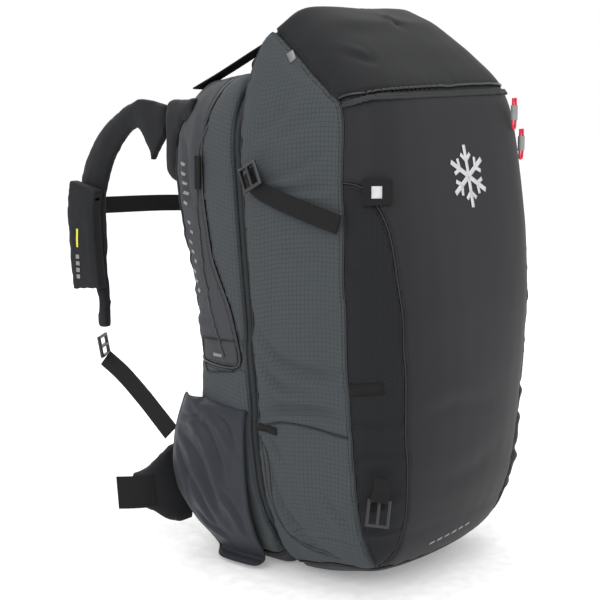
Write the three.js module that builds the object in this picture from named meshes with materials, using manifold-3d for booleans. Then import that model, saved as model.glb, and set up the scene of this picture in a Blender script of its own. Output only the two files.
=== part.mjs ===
// Avalanche airbag backpack: a fan-driven airbag base unit with its harness, and a zip-on touring
// compartment in front of it. Millimetres. +Z is up, -Y is the outer face of the pack, +Y is the
// wearer's side, +X is the wearer's right. The origin is on the ground, under the base unit.
import * as THREE from 'three';
import { mergeVertices } from 'three/addons/utils/BufferGeometryUtils.js';
import Module from 'manifold-3d';

const wasm = await Module();
wasm.setup();

// ---- driving dimensions -------------------------------------------------------------------------
const GAP = 0.4; // clearance between neighbouring pieces
const CLOTH = 3; // a sewn panel with its lining and padding
const WEB = 20; // width of the webbing
const WEB_T = 1.8; // thickness of the webbing
const PACK_TOP = 606;
const BASE_TOP = 540;
const COMPARTMENT_Z = [0, 12, 41, 100, 160, 230, 300, 378, 433, 480, 511, 535, 560, 590, PACK_TOP];
const BASE_Z = [0, 8, 40, 100, 160, 225, 283, 341, 397, 434, 475, 512, 530, BASE_TOP];
const LIFT = 14; // how far the front of the compartment's bottom stands off the ground
const FAR = 400; // well outside the pack, for cutting blocks

// Stations [height, value] of the touring compartment, bottom to top.
const HALF_FRONT = [[0, 84], [12, 104], [41, 129], [100, 143], [197, 143], [300, 146], [378, 143],
  [450, 139], [511, 132], [560, 119], [606, 100]]; // half width at the side seam
const HALF_REAR = [[0, 92], [12, 110], [60, 136], [120, 146], [220, 150], [409, 150], [481, 145],
  [540, 134], [606, 110]]; // half width where the compartment meets the base unit
const FRONT_Y = [[0, -158], [12, -174], [41, -194], [100, -210], [160, -218], [230, -222],
  [300, -220], [370, -210], [433, -197], [480, -186], [527, -172], [560, -141], [590, -106],
  [606, -66]]; // middle of the front
const SEAM_Y = [[0, -130], [12, -150], [41, -168], [100, -168], [197, -158], [300, -153],
  [378, -149], [450, -143], [511, -137], [560, -82], [590, -50], [606, -40]]; // side seam
const REAR_Y = [[0, -58], [50, -44], [120, -36], [220, -32], [300, -26], [400, -15], [480, -7],
  [540, -12], [606, -30]]; // joint between compartment and base unit
const BOXINESS = [[0, 2.1], [150, 2.2], [300, 3], [433, 4.5], [530, 5], [606, 2.6]];
const GUSSET_X = [[30, 86], [101, 98], [185, 109], [288, 116], [383, 126], [432, 139]];

// Stations of the base unit.
const BACK_Y = [[0, 48], [40, 76], [100, 90], [200, 78], [283, 82], [341, 100], [397, 126],
  [434, 137], [475, 136], [512, 126], [540, 108]]; // the back panel's outer face
const HALF_BACK = [[0, 104], [50, 126], [100, 138], [224, 144], [283, 143], [341, 138], [397, 128],
  [450, 116], [520, 104], [540, 98]];
const COVER_Y = [[225, -20], [237, -17], [291, -2], [341, 27], [404, 43], [451, 52], [478, 50],
  [512, 36], [540, 20]]; // front edge of the airbag cover, its burst zip

const PANEL_T = 14; // back panel foam
const COVER_Z = 226; // lower end of the airbag covers
const POCKET = { low: 4, high: 190, front: -26, rear: 84, bulge: 27, wall: 2 };

// ---- materials ----------------------------------------------------------------------------------
const cloth = (color) => new THREE.MeshStandardMaterial({ color, roughness: 0.85, metalness: 0 });
const RIPSTOP = cloth('#474b4d');
const STRETCH = cloth('#3b3b3f');
const LINING = cloth('#26282a');
const POCKET_CLOTH = cloth('#2c2e36');
const FOAM = cloth('#2b2c2e');
const WEBBING = cloth('#17181a');
const RED = cloth('#d21f47');
const PLASTIC = new THREE.MeshStandardMaterial({ color: '#1d1e20', roughness: 0.5 });
const ALLOY = new THREE.MeshStandardMaterial({ color: '#b4b7ba', roughness: 0.4, metalness: 1 });
const AIRBAG = cloth('#d8541e');

// ---- helpers ------------------------------------------------------------------------------------
const { smoothstep, lerp } = THREE.MathUtils;
const V = (x, y, z) => new THREE.Vector3(x, y, z);

// The value of a station table at a height: a smooth curve through the stations.
function at(stations, z) {
  const last = stations.length - 1;
  if (z <= stations[0][0]) return stations[0][1];
  if (z >= stations[last][0]) return stations[last][1];
  let i = 0;
  while (z > stations[i + 1][0]) i += 1;
  const slope = (k) => (stations[k + 1][1] - stations[k][1]) / (stations[k + 1][0] - stations[k][0]);
  const here = slope(i);
  const start = i > 0 ? (slope(i - 1) + here) / 2 : here;
  const end = i < last - 1 ? (here + slope(i + 1)) / 2 : here;
  const span = stations[i + 1][0] - stations[i][0];
  const t = (z - stations[i][0]) / span;
  return stations[i][1] * (2 * t ** 3 - 3 * t ** 2 + 1) + span * start * (t ** 3 - 2 * t ** 2 + t)
    + stations[i + 1][1] * (3 * t ** 2 - 2 * t ** 3) + span * end * (t ** 3 - t ** 2);
}

function solid(geometry) {
  const plain = new THREE.BufferGeometry();
  const open = geometry.index ? geometry.toNonIndexed() : geometry;
  plain.setAttribute('position', open.attributes.position.clone());
  const merged = mergeVertices(plain, 1e-3);
  return new wasm.Manifold(new wasm.Mesh({
    numProp: 3,
    vertProperties: new Float32Array(merged.attributes.position.array),
    triVerts: new Uint32Array(merged.index.array),
  }));
}

function geometryOf(body) {
  const mesh = body.getMesh();
  const geometry = new THREE.BufferGeometry();
  geometry.setAttribute('position', new THREE.BufferAttribute(mesh.vertProperties.slice(), 3));
  geometry.setIndex(new THREE.BufferAttribute(mesh.triVerts.slice(), 1));
  return geometry;
}

// A closed skin: the unit cylinder's rings are moved to heights[i], its sides to ring(k, z).
function loft(around, heights, ring, finish = (p) => p) {
  const steps = heights.length - 1;
  const geometry = new THREE.CylinderGeometry(1, 1, 1, around, steps);
  const place = geometry.attributes.position;
  for (let i = 0; i < place.count; i += 1) {
    const reach = Math.min(1, Math.hypot(place.getX(i), place.getZ(i)));
    const turn = Math.atan2(place.getX(i), place.getZ(i)) / (2 * Math.PI);
    const k = Math.round(((turn + 1) % 1) * around) % around;
    const z = heights[Math.round((place.getY(i) + 0.5) * steps)];
    const rim = ring(k, z);
    const middle = ring(0, z).lerp(ring(around / 2, z), 0.5);
    const p = finish(reach > 0.5 ? rim : middle, z);
    place.setXYZ(i, p.x, p.y, p.z);
  }
  return solid(geometry);
}

// A flat bar swept through points: width and thickness in mm, across(t, tangent) the way its width lies.
function ribbon(points, width, thickness, across, steps) {
  const curve = new THREE.CatmullRomCurve3(points.map((p) => V(...p)));
  const wide = typeof width === 'function' ? width : () => width;
  const thick = typeof thickness === 'function' ? thickness : () => thickness;
  const geometry = new THREE.BoxGeometry(1, 1, 1, 2, steps, 1);
  const place = geometry.attributes.position;
  for (let i = 0; i < place.count; i += 1) {
    const t = THREE.MathUtils.clamp(place.getY(i) + 0.5, 0, 1);
    const tangent = curve.getTangentAt(t);
    const side = across(t, tangent).clone();
    side.addScaledVector(tangent, -side.dot(tangent)).normalize();
    const normal = side.clone().cross(tangent);
    const p = curve.getPointAt(t);
    p.addScaledVector(side, place.getX(i) * wide(t));
    p.addScaledVector(normal, place.getZ(i) * thick(t));
    place.setXYZ(i, p.x, p.y, p.z);
  }
  return solid(geometry);
}

const ACROSS_X = () => V(1, 0, 0);

// A round bar along points; two of them, one inside the other, make a tube.
function bar(points, radius, steps) {
  const curve = new THREE.CatmullRomCurve3(points.map((p) => V(...p)));
  const shape = new THREE.Shape().absarc(0, 0, radius, 0, 2 * Math.PI);
  return solid(new THREE.ExtrudeGeometry(shape, { extrudePath: curve, steps, curveSegments: 9 }));
}

// Prisms of an outline, drawn as [y, z] for X, [x, z] for Y and [x, y] for Z.
function prism(outline, depth, matrix, bevel = 0) {
  const shape = new THREE.Shape(outline.map(([a, b]) => new THREE.Vector2(a, b)));
  const geometry = new THREE.ExtrudeGeometry(shape, {
    depth: depth - 2 * bevel,
    bevelEnabled: bevel > 0,
    bevelSize: bevel,
    bevelOffset: -bevel,
    bevelThickness: bevel,
    bevelSegments: 1,
    curveSegments: 12,
  });
  geometry.translate(0, 0, bevel);
  geometry.applyMatrix4(matrix);
  return solid(geometry);
}
const basis = (x, y, z, origin) => new THREE.Matrix4().makeBasis(x, y, z).setPosition(origin);
const alongX = (outline, x0, x1, bevel) => prism(outline, x1 - x0,
  basis(V(0, 1, 0), V(0, 0, 1), V(1, 0, 0), V(x0, 0, 0)), bevel);
const alongY = (outline, y0, y1, bevel) => prism(outline, y1 - y0,
  basis(V(1, 0, 0), V(0, 0, 1), V(0, -1, 0), V(0, y1, 0)), bevel);
const alongZ = (outline, z0, z1, bevel) => prism(outline, z1 - z0,
  basis(V(1, 0, 0), V(0, 1, 0), V(0, 0, 1), V(0, 0, z0)), bevel);
const block = (low, high) => alongZ(
  [[low[0], low[1]], [high[0], low[1]], [high[0], high[1]], [low[0], high[1]]], low[2], high[2]);

// Everything before (y below) or behind a station curve, followed at the given heights.
const curveAt = (stations, shift, heights) => heights.map(
  (z, i) => [at(stations, z) + shift, i ? z : -50]);
function before(stations, shift, heights = stations.map(([z]) => z)) {
  const curve = curveAt(stations, shift, heights);
  return alongX([[-FAR, -50], ...curve, [curve.at(-1)[0], 700], [-FAR, 700]], -FAR, FAR);
}
function behind(stations, shift, heights = stations.map(([z]) => z)) {
  const curve = curveAt(stations, shift, heights);
  return alongX([[FAR, -50], [FAR, 700], [curve.at(-1)[0], 700], ...curve.reverse()], -FAR, FAR);
}
const half = (sign, from = 0) => block(sign > 0 ? [from, -FAR, -50] : [-FAR, -FAR, -50],
  sign > 0 ? [FAR, FAR, 700] : [-from, FAR, 700]);

const part = new THREE.Group();
function add(name, material, body) {
  const shape = body instanceof THREE.BufferGeometry ? body : geometryOf(body);
  const mesh = new THREE.Mesh(shape, material);
  mesh.name = name;
  part.add(mesh);
  return mesh;
}
// The same piece on both sides: made for the wearer's left (-X), mirrored for the right.
const mirror = (body) => body.mirror([1, 0, 0]);
function addPair(name, material, left) {
  add(`${name}_left`, material, left);
  add(`${name}_right`, material, mirror(left));
}

// ---- touring compartment ------------------------------------------------------------------------
const FRONT_STEPS = 7; // ring steps from the middle of the front to the side seam
const SIDE_STEPS = 2;
const REAR_STEPS = 2;
const ROUND = 2 * (FRONT_STEPS + SIDE_STEPS + REAR_STEPS);

// Point k of the compartment's ring at height z, grown outwards by `grow`.
function compartmentRing(k, z, grow) {
  const sign = k <= ROUND / 2 ? 1 : -1;
  const step = Math.min(k, ROUND - k);
  const wide = at(HALF_FRONT, z) + grow;
  const wideRear = at(HALF_REAR, z) + grow;
  const seam = at(SEAM_Y, z);
  const rear = at(REAR_Y, z) + Math.min(grow, 0);
  if (step <= FRONT_STEPS) {
    const angle = (step / FRONT_STEPS) * (Math.PI / 2);
    const power = at(BOXINESS, z);
    const s = Math.abs(Math.sin(angle));
    const c = Math.abs(Math.cos(angle));
    const reach = 1 / (s ** power + c ** power) ** (1 / power);
    return V(sign * wide * s * reach, seam + (at(FRONT_Y, z) - grow - seam) * c * reach, z);
  }
  if (step <= FRONT_STEPS + SIDE_STEPS) {
    const t = (step - FRONT_STEPS) / SIDE_STEPS;
    return V(sign * (lerp(wide, wideRear, t) + 4 * Math.sin(Math.PI * t)), lerp(seam, rear, t), z);
  }
  return V(sign * wideRear * (1 - (step - FRONT_STEPS - SIDE_STEPS) / REAR_STEPS), rear, z);
}
const lifted = (p) => {
  p.z += LIFT * smoothstep(-p.y, 60, 150) * (1 - smoothstep(p.z, 0, 150));
  return p;
};
const compartment = (grow) => loft(ROUND,
  COMPARTMENT_Z.map((z) => THREE.MathUtils.clamp(z, -grow, PACK_TOP + grow)),
  (k, z) => compartmentRing(k, z, grow), lifted);

const outer = compartment(0);
const wall = outer.subtract(compartment(-CLOTH));
// The lid's lower edge, seen from the side: from the rear top corner down to the front flap.
const LID_EDGE = [[-20, 598], [-24, 591], [-76, 553], [-128, 514], [-150, 517], [-172, 524],
  [-FAR, 524]];
const aboveLid = (shift) => alongX([[-20, 700], [-FAR, 700],
  ...[...LID_EDGE].reverse().map(([y, z]) => [y, z + shift])], -FAR, FAR);
const rearWallZone = behind(REAR_Y, -CLOTH - GAP, COMPARTMENT_Z);
const bottomZone = (rise) => alongX([[FAR, -50], [FAR, 10 + rise], [-60, 10 + rise],
  [-110, 22 + rise], [-FAR, 26 + rise], [-FAR, -50]], -FAR, FAR);
const gussetZone = (sign, shift) => alongY(
  [[sign * FAR, -50], ...GUSSET_X.map(([z, x], i) => [sign * (x + shift), i ? z : -50]),
    [sign * FAR, 446 - shift]], -FAR, FAR);

const lid = wall.intersect(aboveLid(0)).subtract(behind(REAR_Y, -CLOTH - 3 * GAP, COMPARTMENT_Z));
add('lid', STRETCH, lid);
const openBag = wall.subtract(aboveLid(-GAP)).subtract(rearWallZone);
add('divider_wall', LINING, wall.intersect(behind(REAR_Y, -CLOTH, COMPARTMENT_Z))
  .subtract(block([-FAR, -FAR, 598], [FAR, FAR, 700])));
add('bottom_panel', LINING, openBag.intersect(bottomZone(0)));
const sides = openBag.subtract(bottomZone(GAP));
addPair('side_panel', RIPSTOP, sides.intersect(behind(SEAM_Y, GAP, COMPARTMENT_Z)).intersect(half(-1)));
const front = sides.intersect(before(SEAM_Y, 0, COMPARTMENT_Z));
addPair('gusset', RIPSTOP, front.intersect(gussetZone(-1, GAP)));
add('front_panel', STRETCH, front.subtract(gussetZone(-1, 0)).subtract(gussetZone(1, 0)));

// The zip's chain stands proud of the front, just under the lid's flap.
const zipBand = compartment(2.2).subtract(compartment(GAP));
add('main_zipper', WEBBING, zipBand.intersect(aboveLid(-9)).subtract(aboveLid(-GAP - 0.6))
  .intersect(block([-FAR, -FAR, 0], [FAR, -139, 700])));

// ---- base unit: skin ----------------------------------------------------------------------------
const WALL_STEPS = 2;
const BEND_STEPS = 9;
const TOP_ROUND = 12;
const TOP_SLOPE = 16;
const BASE_ROUND = 2 * (WALL_STEPS + BEND_STEPS);

// Point k of the base unit's ring at height z: a flat front wall, then a rounded D to the back.
function baseRing(k, z, grow) {
  const sign = k <= BASE_ROUND / 2 ? 1 : -1;
  const step = Math.min(k, BASE_ROUND - k);
  const wide = at(HALF_REAR, z) + grow - TOP_ROUND * smoothstep(z, 512, BASE_TOP);
  const front = at(REAR_Y, z) + 2 * GAP - Math.min(grow, 0);
  const deep = at(BACK_Y, z) + grow - front;
  if (step <= WALL_STEPS) return V(sign * wide * (step / WALL_STEPS), front, z);
  const angle = (1 - (step - WALL_STEPS) / BEND_STEPS) * (Math.PI / 2);
  const s = Math.sin(angle);
  const c = Math.cos(angle);
  const reach = 1 / (s ** 4.5 + c ** 4.5) ** (1 / 4.5);
  const taper = 1 - 0.9 * (1 - at(HALF_BACK, z) / at(HALF_REAR, z)) * c * reach;
  return V(sign * wide * s * reach * taper, front + deep * c * reach, z);
}
// The top slopes down towards the wearer's neck.
const sloped = (p) => {
  p.z -= TOP_SLOPE * smoothstep(p.y, -20, 110) * smoothstep(p.z, 420, BASE_TOP);
  return p;
};
const baseBody = (grow) => loft(BASE_ROUND,
  BASE_Z.map((z) => THREE.MathUtils.clamp(z, -grow, BASE_TOP + grow)),
  (k, z) => baseRing(k, z, grow), sloped);

const baseOuter = baseBody(0);
const baseWall = baseOuter.subtract(baseBody(-CLOTH));
const backZone = (shift) => alongY(
  [...HALF_BACK.map(([z, x], i) => [x - 22 + shift, i ? z : 14 - shift]).slice(0, -1),
    [72 + shift, 500 + shift], [-72 - shift, 500 + shift],
    ...HALF_BACK.map(([z, x], i) => [-(x - 22) - shift, i ? z : 14 - shift]).slice(0, -1).reverse()],
  -FAR, FAR).intersect(behind(BACK_Y, -PANEL_T - shift, BASE_Z))
  .subtract(block([-FAR, -FAR, 498 + shift], [FAR, FAR, 700]));
add('back_panel', FOAM, baseOuter.intersect(backZone(0)));
const skin = baseWall.subtract(backZone(GAP));
const frontWall = behind(REAR_Y, CLOTH + 3 * GAP, BASE_Z);
add('base_front_wall', LINING, skin.subtract(frontWall)
  .intersect(block([-FAR, -FAR, 12], [FAR, FAR, 534])));
const flanks = skin.intersect(behind(REAR_Y, CLOTH + 4 * GAP, BASE_Z));
add('base_bottom', LINING, flanks.intersect(block([-FAR, -FAR, -1], [FAR, FAR, 12 - GAP])));
const coverZone = (sign, shift) => behind(COVER_Y, shift)
  .intersect(block([-FAR, -FAR, COVER_Z + shift], [FAR, FAR, 700]))
  .intersect(half(sign, shift));
const upper = flanks.intersect(block([-FAR, -FAR, 12], [FAR, FAR, 700]));
addPair('airbag_cover', RIPSTOP, upper.intersect(coverZone(-1, GAP)));
const uncovered = upper.subtract(coverZone(-1, 0)).subtract(coverZone(1, 0));
addPair('base_side', RIPSTOP, uncovered.intersect(half(-1, GAP))
  .subtract(block([-60, -FAR, 0], [60, FAR, 440])));

// Open stretch pockets on the base unit's flanks.
const pocketBulge = (z) => POCKET.bulge
  * Math.sin(Math.PI * Math.min(1, (z + 24) / (POCKET.high + 60))) ** 0.7;
// The bulge is fullest at the rear corner and flat where the pocket meets the compartment.
const pocketFullness = (k) => lerp(0.25, 1,
  smoothstep(Math.min(k, BASE_ROUND - k), WALL_STEPS, WALL_STEPS + 5));
const pocketSkin = (shrink) => loft(BASE_ROUND, [0, 12, 40, 75, 110, 150, 190, 200],
  (k, z) => baseRing(k, z, pocketBulge(z) * pocketFullness(k) - shrink));
const pocketBlock = (inset, top) => block([-FAR, POCKET.front + inset, POCKET.low + inset],
  [-100, POCKET.rear - inset, top]);
const pocket = pocketSkin(0).intersect(pocketBlock(0, POCKET.high))
  .subtract(pocketSkin(POCKET.wall).intersect(pocketBlock(POCKET.wall, FAR)))
  .subtract(baseBody(GAP));
addPair('stretch_pocket', POCKET_CLOTH, pocket);

// ---- base unit: inside --------------------------------------------------------------------------
const plateOf = (thickness, gap) => behind(BACK_Y, -PANEL_T - gap - thickness, BASE_Z)
  .subtract(behind(BACK_Y, -PANEL_T - gap, BASE_Z));
const SHEET_T = 2;
add('frame_sheet', PLASTIC, plateOf(SHEET_T, 1)
  .intersect(block([-82, -FAR, 24], [82, FAR, 470])));
const stay = plateOf(3, 1 + SHEET_T + GAP).intersect(block([-57, -FAR, 30], [-45, FAR, 470]));
addPair('frame_stay', ALLOY, stay);

const FAN = { y: 8, z: 132, radius: 30, wall: 2, high: 58, shaft: 3 };
const turned = (profile, steps, z) => {
  const geometry = new THREE.LatheGeometry(profile.map(([r, h]) => new THREE.Vector2(r, h)), steps);
  geometry.rotateX(Math.PI / 2);
  geometry.translate(0, FAN.y, z);
  return solid(geometry);
};
const ringOf = (r0, r1, low, high, steps = 24) => turned(
  [[r0, low], [r1, low], [r1, high], [r0, high], [r0, low]], steps, FAN.z);
const discOf = (r, low, high, steps = 20) => turned(
  [[0, low], [r, low], [r, high], [0, high]], steps, FAN.z);
const spoke = (turn, reach, low, high, width) => {
  const body = block([0, -width / 2, low], [reach, width / 2, high]);
  return body.rotate([0, 0, turn]).translate([0, FAN.y, FAN.z]);
};
const housing = ringOf(FAN.radius - FAN.wall, FAN.radius, 0, FAN.high)
  .add(ringOf(FAN.radius - 1, FAN.radius + 7, 26, 30));
let mount = discOf(12, 40, 44);
let grille = ringOf(FAN.radius - 6, FAN.radius - 1, -3, -GAP)
  .add(ringOf(10, 13, -3, -GAP));
for (let i = 0; i < 6; i += 1) {
  const arm = spoke(60 * i, FAN.radius - 0.6, 40, 44, 4);
  if (i % 2 === 0) mount = mount.add(arm);
  grille = grille.add(spoke(60 * i, FAN.radius - 4, -3, -GAP, 3));
}
add('fan_housing', PLASTIC, housing.add(mount.subtract(discOf(4, 30, 50))));
add('intake_grille', PLASTIC, grille);
add('fan_motor', ALLOY, discOf(13, 44 + GAP, 56));
let rotor = discOf(11, 12, 34).add(discOf(FAN.shaft, 34, 43.5));
for (let i = 0; i < 7; i += 1) {
  const blade = block([9, -1, -8], [FAN.radius - FAN.wall - 1.2, 1, 8]).rotate([38, 0, 0])
    .translate([0, 0, 23]).rotate([0, 0, (360 / 7) * i]).translate([0, FAN.y, FAN.z]);
  rotor = rotor.add(blade);
}
add('fan_rotor', PLASTIC, rotor);
const DUCT = [[0, FAN.y, FAN.z + FAN.high + GAP], [0, 17, 280], [0, 30, 370], [0, 42, 452]];
const ductRoom = DUCT.map(([x, y, z], i) => [x, y, z + (i === 0 ? -1 : 0) + (i === 3 ? 1 : 0)]);
add('air_duct', RIPSTOP, bar(DUCT, 20, 6).subtract(bar(ductRoom, 18, 6)));
add('battery_pack', PLASTIC, alongZ([[44, -16], [98, -16], [98, 34], [44, 34]], 96, 196, 3));
add('control_module', PLASTIC, alongZ([[-98, -12], [-46, -12], [-46, 28], [-98, 28]], 100, 176, 3));

const AIRBAG_PATH = [[-98, 8, 240], [-98, 20, 330], [-93, 36, 420], [-66, 42, 466], [0, 44, 476],
  [66, 42, 466], [93, 36, 420], [98, 20, 330], [98, 8, 240]];
add('airbag', AIRBAG, ribbon(AIRBAG_PATH, 36, 34, () => V(0, 1, 0), 24));

// ---- straps on the bag --------------------------------------------------------------------------
// A flat buckle bar frame: an outline with two slots for the webbing.
function ladderLock(width, length, thickness) {
  const bar = 3;
  const slot = (length - 3 * bar) / 2;
  let body = alongZ([[-width / 2, -length / 2], [width / 2, -length / 2], [width / 2, length / 2],
    [-width / 2, length / 2]], -thickness / 2, thickness / 2, 1);
  for (const side of [-1, 1]) {
    const middle = side * (slot + bar) / 2;
    body = body.subtract(block([-width / 2 + bar, middle - slot / 2, -FAR],
      [width / 2 - bar, middle + slot / 2, FAR]));
  }
  return body;
}
// Stands a flat piece at a place: its width along `side`, its length along `way`.
function placed(body, origin, side, way) {
  const x = V(...side).normalize();
  const z = x.clone().cross(V(...way)).normalize();
  const y = z.clone().cross(x);
  const geometry = geometryOf(body);
  geometry.applyMatrix4(basis(x, y, z, V(...origin)));
  return solid(geometry);
}

const COMPRESSION = [[-157, -36, 440], [-158, -50, 424], [-157, -84, 412], [-154.5, -120, 402],
  [-151, -150, 394]];
addPair('compression_strap', WEBBING, ribbon(COMPRESSION, WEB, WEB_T, () => V(0, 0.3, 1), 6)
  .subtract(compartment(GAP)));
addPair('compression_lock', PLASTIC,
  placed(ladderLock(26, 26, 4), [-162.5, -44, 436], [0.1, 0.45, 0.85], [0, -0.75, 0.5]));

// Low on the left corner, for hanging an ice tool's shaft.
add('hook_buckle', PLASTIC,
  placed(ladderLock(28, 24, 4.5), [-139, -193, 105], [0.3, 0.1, 1], [-0.62, 0.78, 0.2])
    .subtract(compartment(GAP)));
add('label_loop', WEBBING, alongY([[-15, -13], [15, -13], [15, 13], [-15, 13]], -2, 2, 0.5)
  .rotate([0, 0, -42]).translate([-133, -184, 427]).subtract(compartment(GAP)));

// ---- harness on the base unit -------------------------------------------------------------------
const LUMBAR_Y = 113;
add('lumbar_pad', FOAM, alongY([[-98, 30], [98, 30], [98, 120], [70, 150], [-70, 150], [-98, 120]],
  50, LUMBAR_Y, 4).subtract(baseBody(GAP)));
const yoke = ribbon([[-111, 84, 458], [-103, 112, 463], [-96, 142, 469]], (t) => lerp(112, 80, t), 14,
  () => V(0, 0, 1), 4).subtract(baseBody(GAP)).subtract(block([-FAR, 138, 0], [FAR, FAR, 700]));
addPair('strap_yoke', RIPSTOP, yoke);
addPair('load_lifter', WEBBING, ribbon([[-70, -19, 582], [-77, 20, 561], [-84, 62, 538],
  [-89, 98, 520]], WEB, WEB_T, ACROSS_X, 5).subtract(baseBody(GAP)).subtract(yoke));

// ---- shoulder straps: a pad, its adjuster and the webbing down to the hip -----------------------
const REACH_LEFT = 1;
const REACH_RIGHT = 0.8; // the wearer's right strap lies closer to the back
const STRAP_ROOT_Y = 141;
const STRAP_T = 14;
const STRAP_PATH = [[-96, 140, 471], [-94, 162, 484], [-92, 188, 492], [-91, 222, 474],
  [-91, 256, 434], [-91, 273, 385], [-91, 272, 337], [-91, 268, 305], [-92, 261, 285],
  [-94, 256, 264], [-98, 253, 230]];
// Width along the strap, as [share of its length, width].
const STRAP_WIDTHS = [[0, 78], [0.1, 46], [0.18, 34], [0.3, 38], [0.45, 46], [0.66, 46],
  [0.76, 38], [0.86, 20], [1, 18]];
const strapWidth = (t) => at(STRAP_WIDTHS, t);
// The pad lies in an upright plane, its outer face towards -X.
const strapAcross = (t, tangent) => tangent.clone().cross(V(-1, 0, 0));
const reachTo = (reach) => ([x, y, z]) => [x, STRAP_ROOT_Y + (y - STRAP_ROOT_Y) * reach, z];
const pad = (reach) => ribbon(STRAP_PATH.map(reachTo(reach)), strapWidth, STRAP_T, strapAcross, 20)
  .subtract(block([-FAR, -FAR, 0], [FAR, STRAP_ROOT_Y - 2, 700]));
const LOCK_PLACE = [-100, 250, 212];
const strapLock = (reach) => placed(ladderLock(30, 26, 4), reachTo(reach)(LOCK_PLACE),
  [0.85, 0.5, 0], [0, 0.2, 1]);
const LOWER_WEB = [[-101, 246, 197], [-107, 210, 184], [-115, 168, 164], [-123, 134, 147],
  [-128, 110, 134]];
const lowerWeb = (reach) => ribbon(LOWER_WEB.map(reachTo(reach)), WEB, WEB_T,
  () => V(0.5, 0, 0.86), 10);
add('shoulder_strap_left', RIPSTOP, pad(REACH_LEFT));
add('shoulder_strap_right', RIPSTOP, mirror(pad(REACH_RIGHT)));
add('ladder_lock_left', PLASTIC, strapLock(REACH_LEFT));
add('ladder_lock_right', PLASTIC, mirror(strapLock(REACH_RIGHT)));
add('lower_webbing_left', WEBBING, lowerWeb(REACH_LEFT));
add('lower_webbing_right', WEBBING, mirror(lowerWeb(REACH_RIGHT)));

// The trigger's pouch on the left pad: a sleeve, open below, with the handle inside it.
const POUCH_X = -105.6;
const POUCH_T = 14;
const POUCH_WALL = 2;
const POUCH = [[POUCH_X, 268, 404], [POUCH_X, 273, 380], [POUCH_X, 272, 337], [POUCH_X, 269, 305],
  [POUCH_X, 266, 280]];
const pouchRoom = POUCH.map(([x, y, z], i) => [x, y, z - (i === 0 ? 5 : 0) - (i === 4 ? 4 : 0)]);
add('trigger_pouch', RIPSTOP, ribbon(POUCH, 46, POUCH_T, strapAcross, 8)
  .subtract(ribbon(pouchRoom, 46 - 2 * POUCH_WALL, POUCH_T - 2 * POUCH_WALL, strapAcross, 8))
  .subtract(pad(REACH_LEFT)));
const HANDLE = { front: 258, rear: 284, low: 306, high: 374, thick: 7 };
add('trigger_handle', RED, alongX([[HANDLE.front, HANDLE.low], [HANDLE.rear, HANDLE.low],
  [HANDLE.rear, HANDLE.high], [HANDLE.front, HANDLE.high]], POUCH_X - HANDLE.thick / 2,
POUCH_X + HANDLE.thick / 2, 1));

// Sternum strap: its webbing comes from the left pad, its snap buckle lies on the right pad.
const STERNUM = { z: 375, left: -83, right: 57, yLeft: 262, yRight: 252 };
add('sternum_webbing', WEBBING, ribbon([[STERNUM.left, STERNUM.yLeft, STERNUM.z + 4],
  [0, 258, STERNUM.z], [STERNUM.right, STERNUM.yRight, STERNUM.z - 4]], WEB, WEB_T,
() => V(0, 0, 1), 4));
const tongueY = STERNUM.yRight;
const tongueZ = STERNUM.z - 4;
add('sternum_tongue', PLASTIC, block([57.8, tongueY - 3, tongueZ - 13],
  [65.8, tongueY + 3, tongueZ + 13])
  .subtract(block([0, tongueY - 8, tongueZ - 9], [60.5, tongueY + 8, tongueZ + 9]))
  .add(block([65, tongueY - 1.5, tongueZ - 8], [77, tongueY + 1.5, tongueZ + 8])));
add('sternum_catch', PLASTIC, block([66.5, tongueY - 5, tongueZ - 14],
  [83.5, tongueY + 5, tongueZ + 14])
  .subtract(block([60, tongueY - 3, tongueZ - 9.5], [79, FAR, tongueZ + 9.5])));

// ---- hip belt -----------------------------------------------------------------------------------
const WING_PATH = [[-104, 104, 76], [-124, 106, 75], [-144, 111, 74], [-160, 119, 73],
  [-171, 130, 72]];
const WING_T = 14;
const wing = ribbon(WING_PATH, (t) => lerp(96, 40, smoothstep(t, 0.25, 1)), WING_T,
  () => V(0, 0, 1), 8);
addPair('hip_wing', RIPSTOP, wing);
const BELT_WEB = 38;
addPair('hip_webbing', WEBBING, ribbon([[-156, 108, 73], [-166, 115, 72], [-176, 127, 71],
  [-184, 140, 70]], BELT_WEB, 2.2, () => V(0, 0, 1), 5).subtract(wing));

// ---- haul loop and zip pulls --------------------------------------------------------------------
// The loop's feet are narrow, so that it can swing over the sloping top.
const loopWidth = (t) => lerp(5, WEB, smoothstep(Math.min(t, 1 - t), 0, 0.14));
add('haul_loop', WEBBING, ribbon([[-32, 62, 534], [-30, 62, 549], [0, 62, 560], [30, 62, 549],
  [32, 62, 534]], loopWidth, WEB_T, () => V(0, 1, 0), 14).subtract(baseBody(3)));
const grip = alongZ([[-4.5, -2], [4.5, -2], [4.5, 2], [-4.5, 2]], -18, 18, 1);
const CORNER_TURN = 48;
add('zip_pull_front', RED, grip.translate([110, -186, 494]));
add('zip_pull_side', RED, grip.rotate([0, 0, CORNER_TURN]).translate([141, -177, 459]));
add('burst_zip_pull', WEBBING, alongX([[44, 416], [52, 416], [52, 452], [44, 452]], -145, -142, 0.8));

export default part;
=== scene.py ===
# %% [markdown]
# # An avalanche airbag backpack
# The real pack has two halves. The half at the wearer's back is the base unit: a frame, a fan, a battery
# and a folded airbag under a burst zip, with the harness sewn to it. A touring compartment zips onto it.
# The CAD model is the fixed frame of this scene: it says where every panel, strap and buckle is, and what
# moves.

# %% Load the frame
import math

import bmesh
import bpy
import numpy as np
from mathutils import Matrix, Vector, noise
from mathutils.bvhtree import BVHTree
from mathutils.kdtree import KDTree


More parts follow.
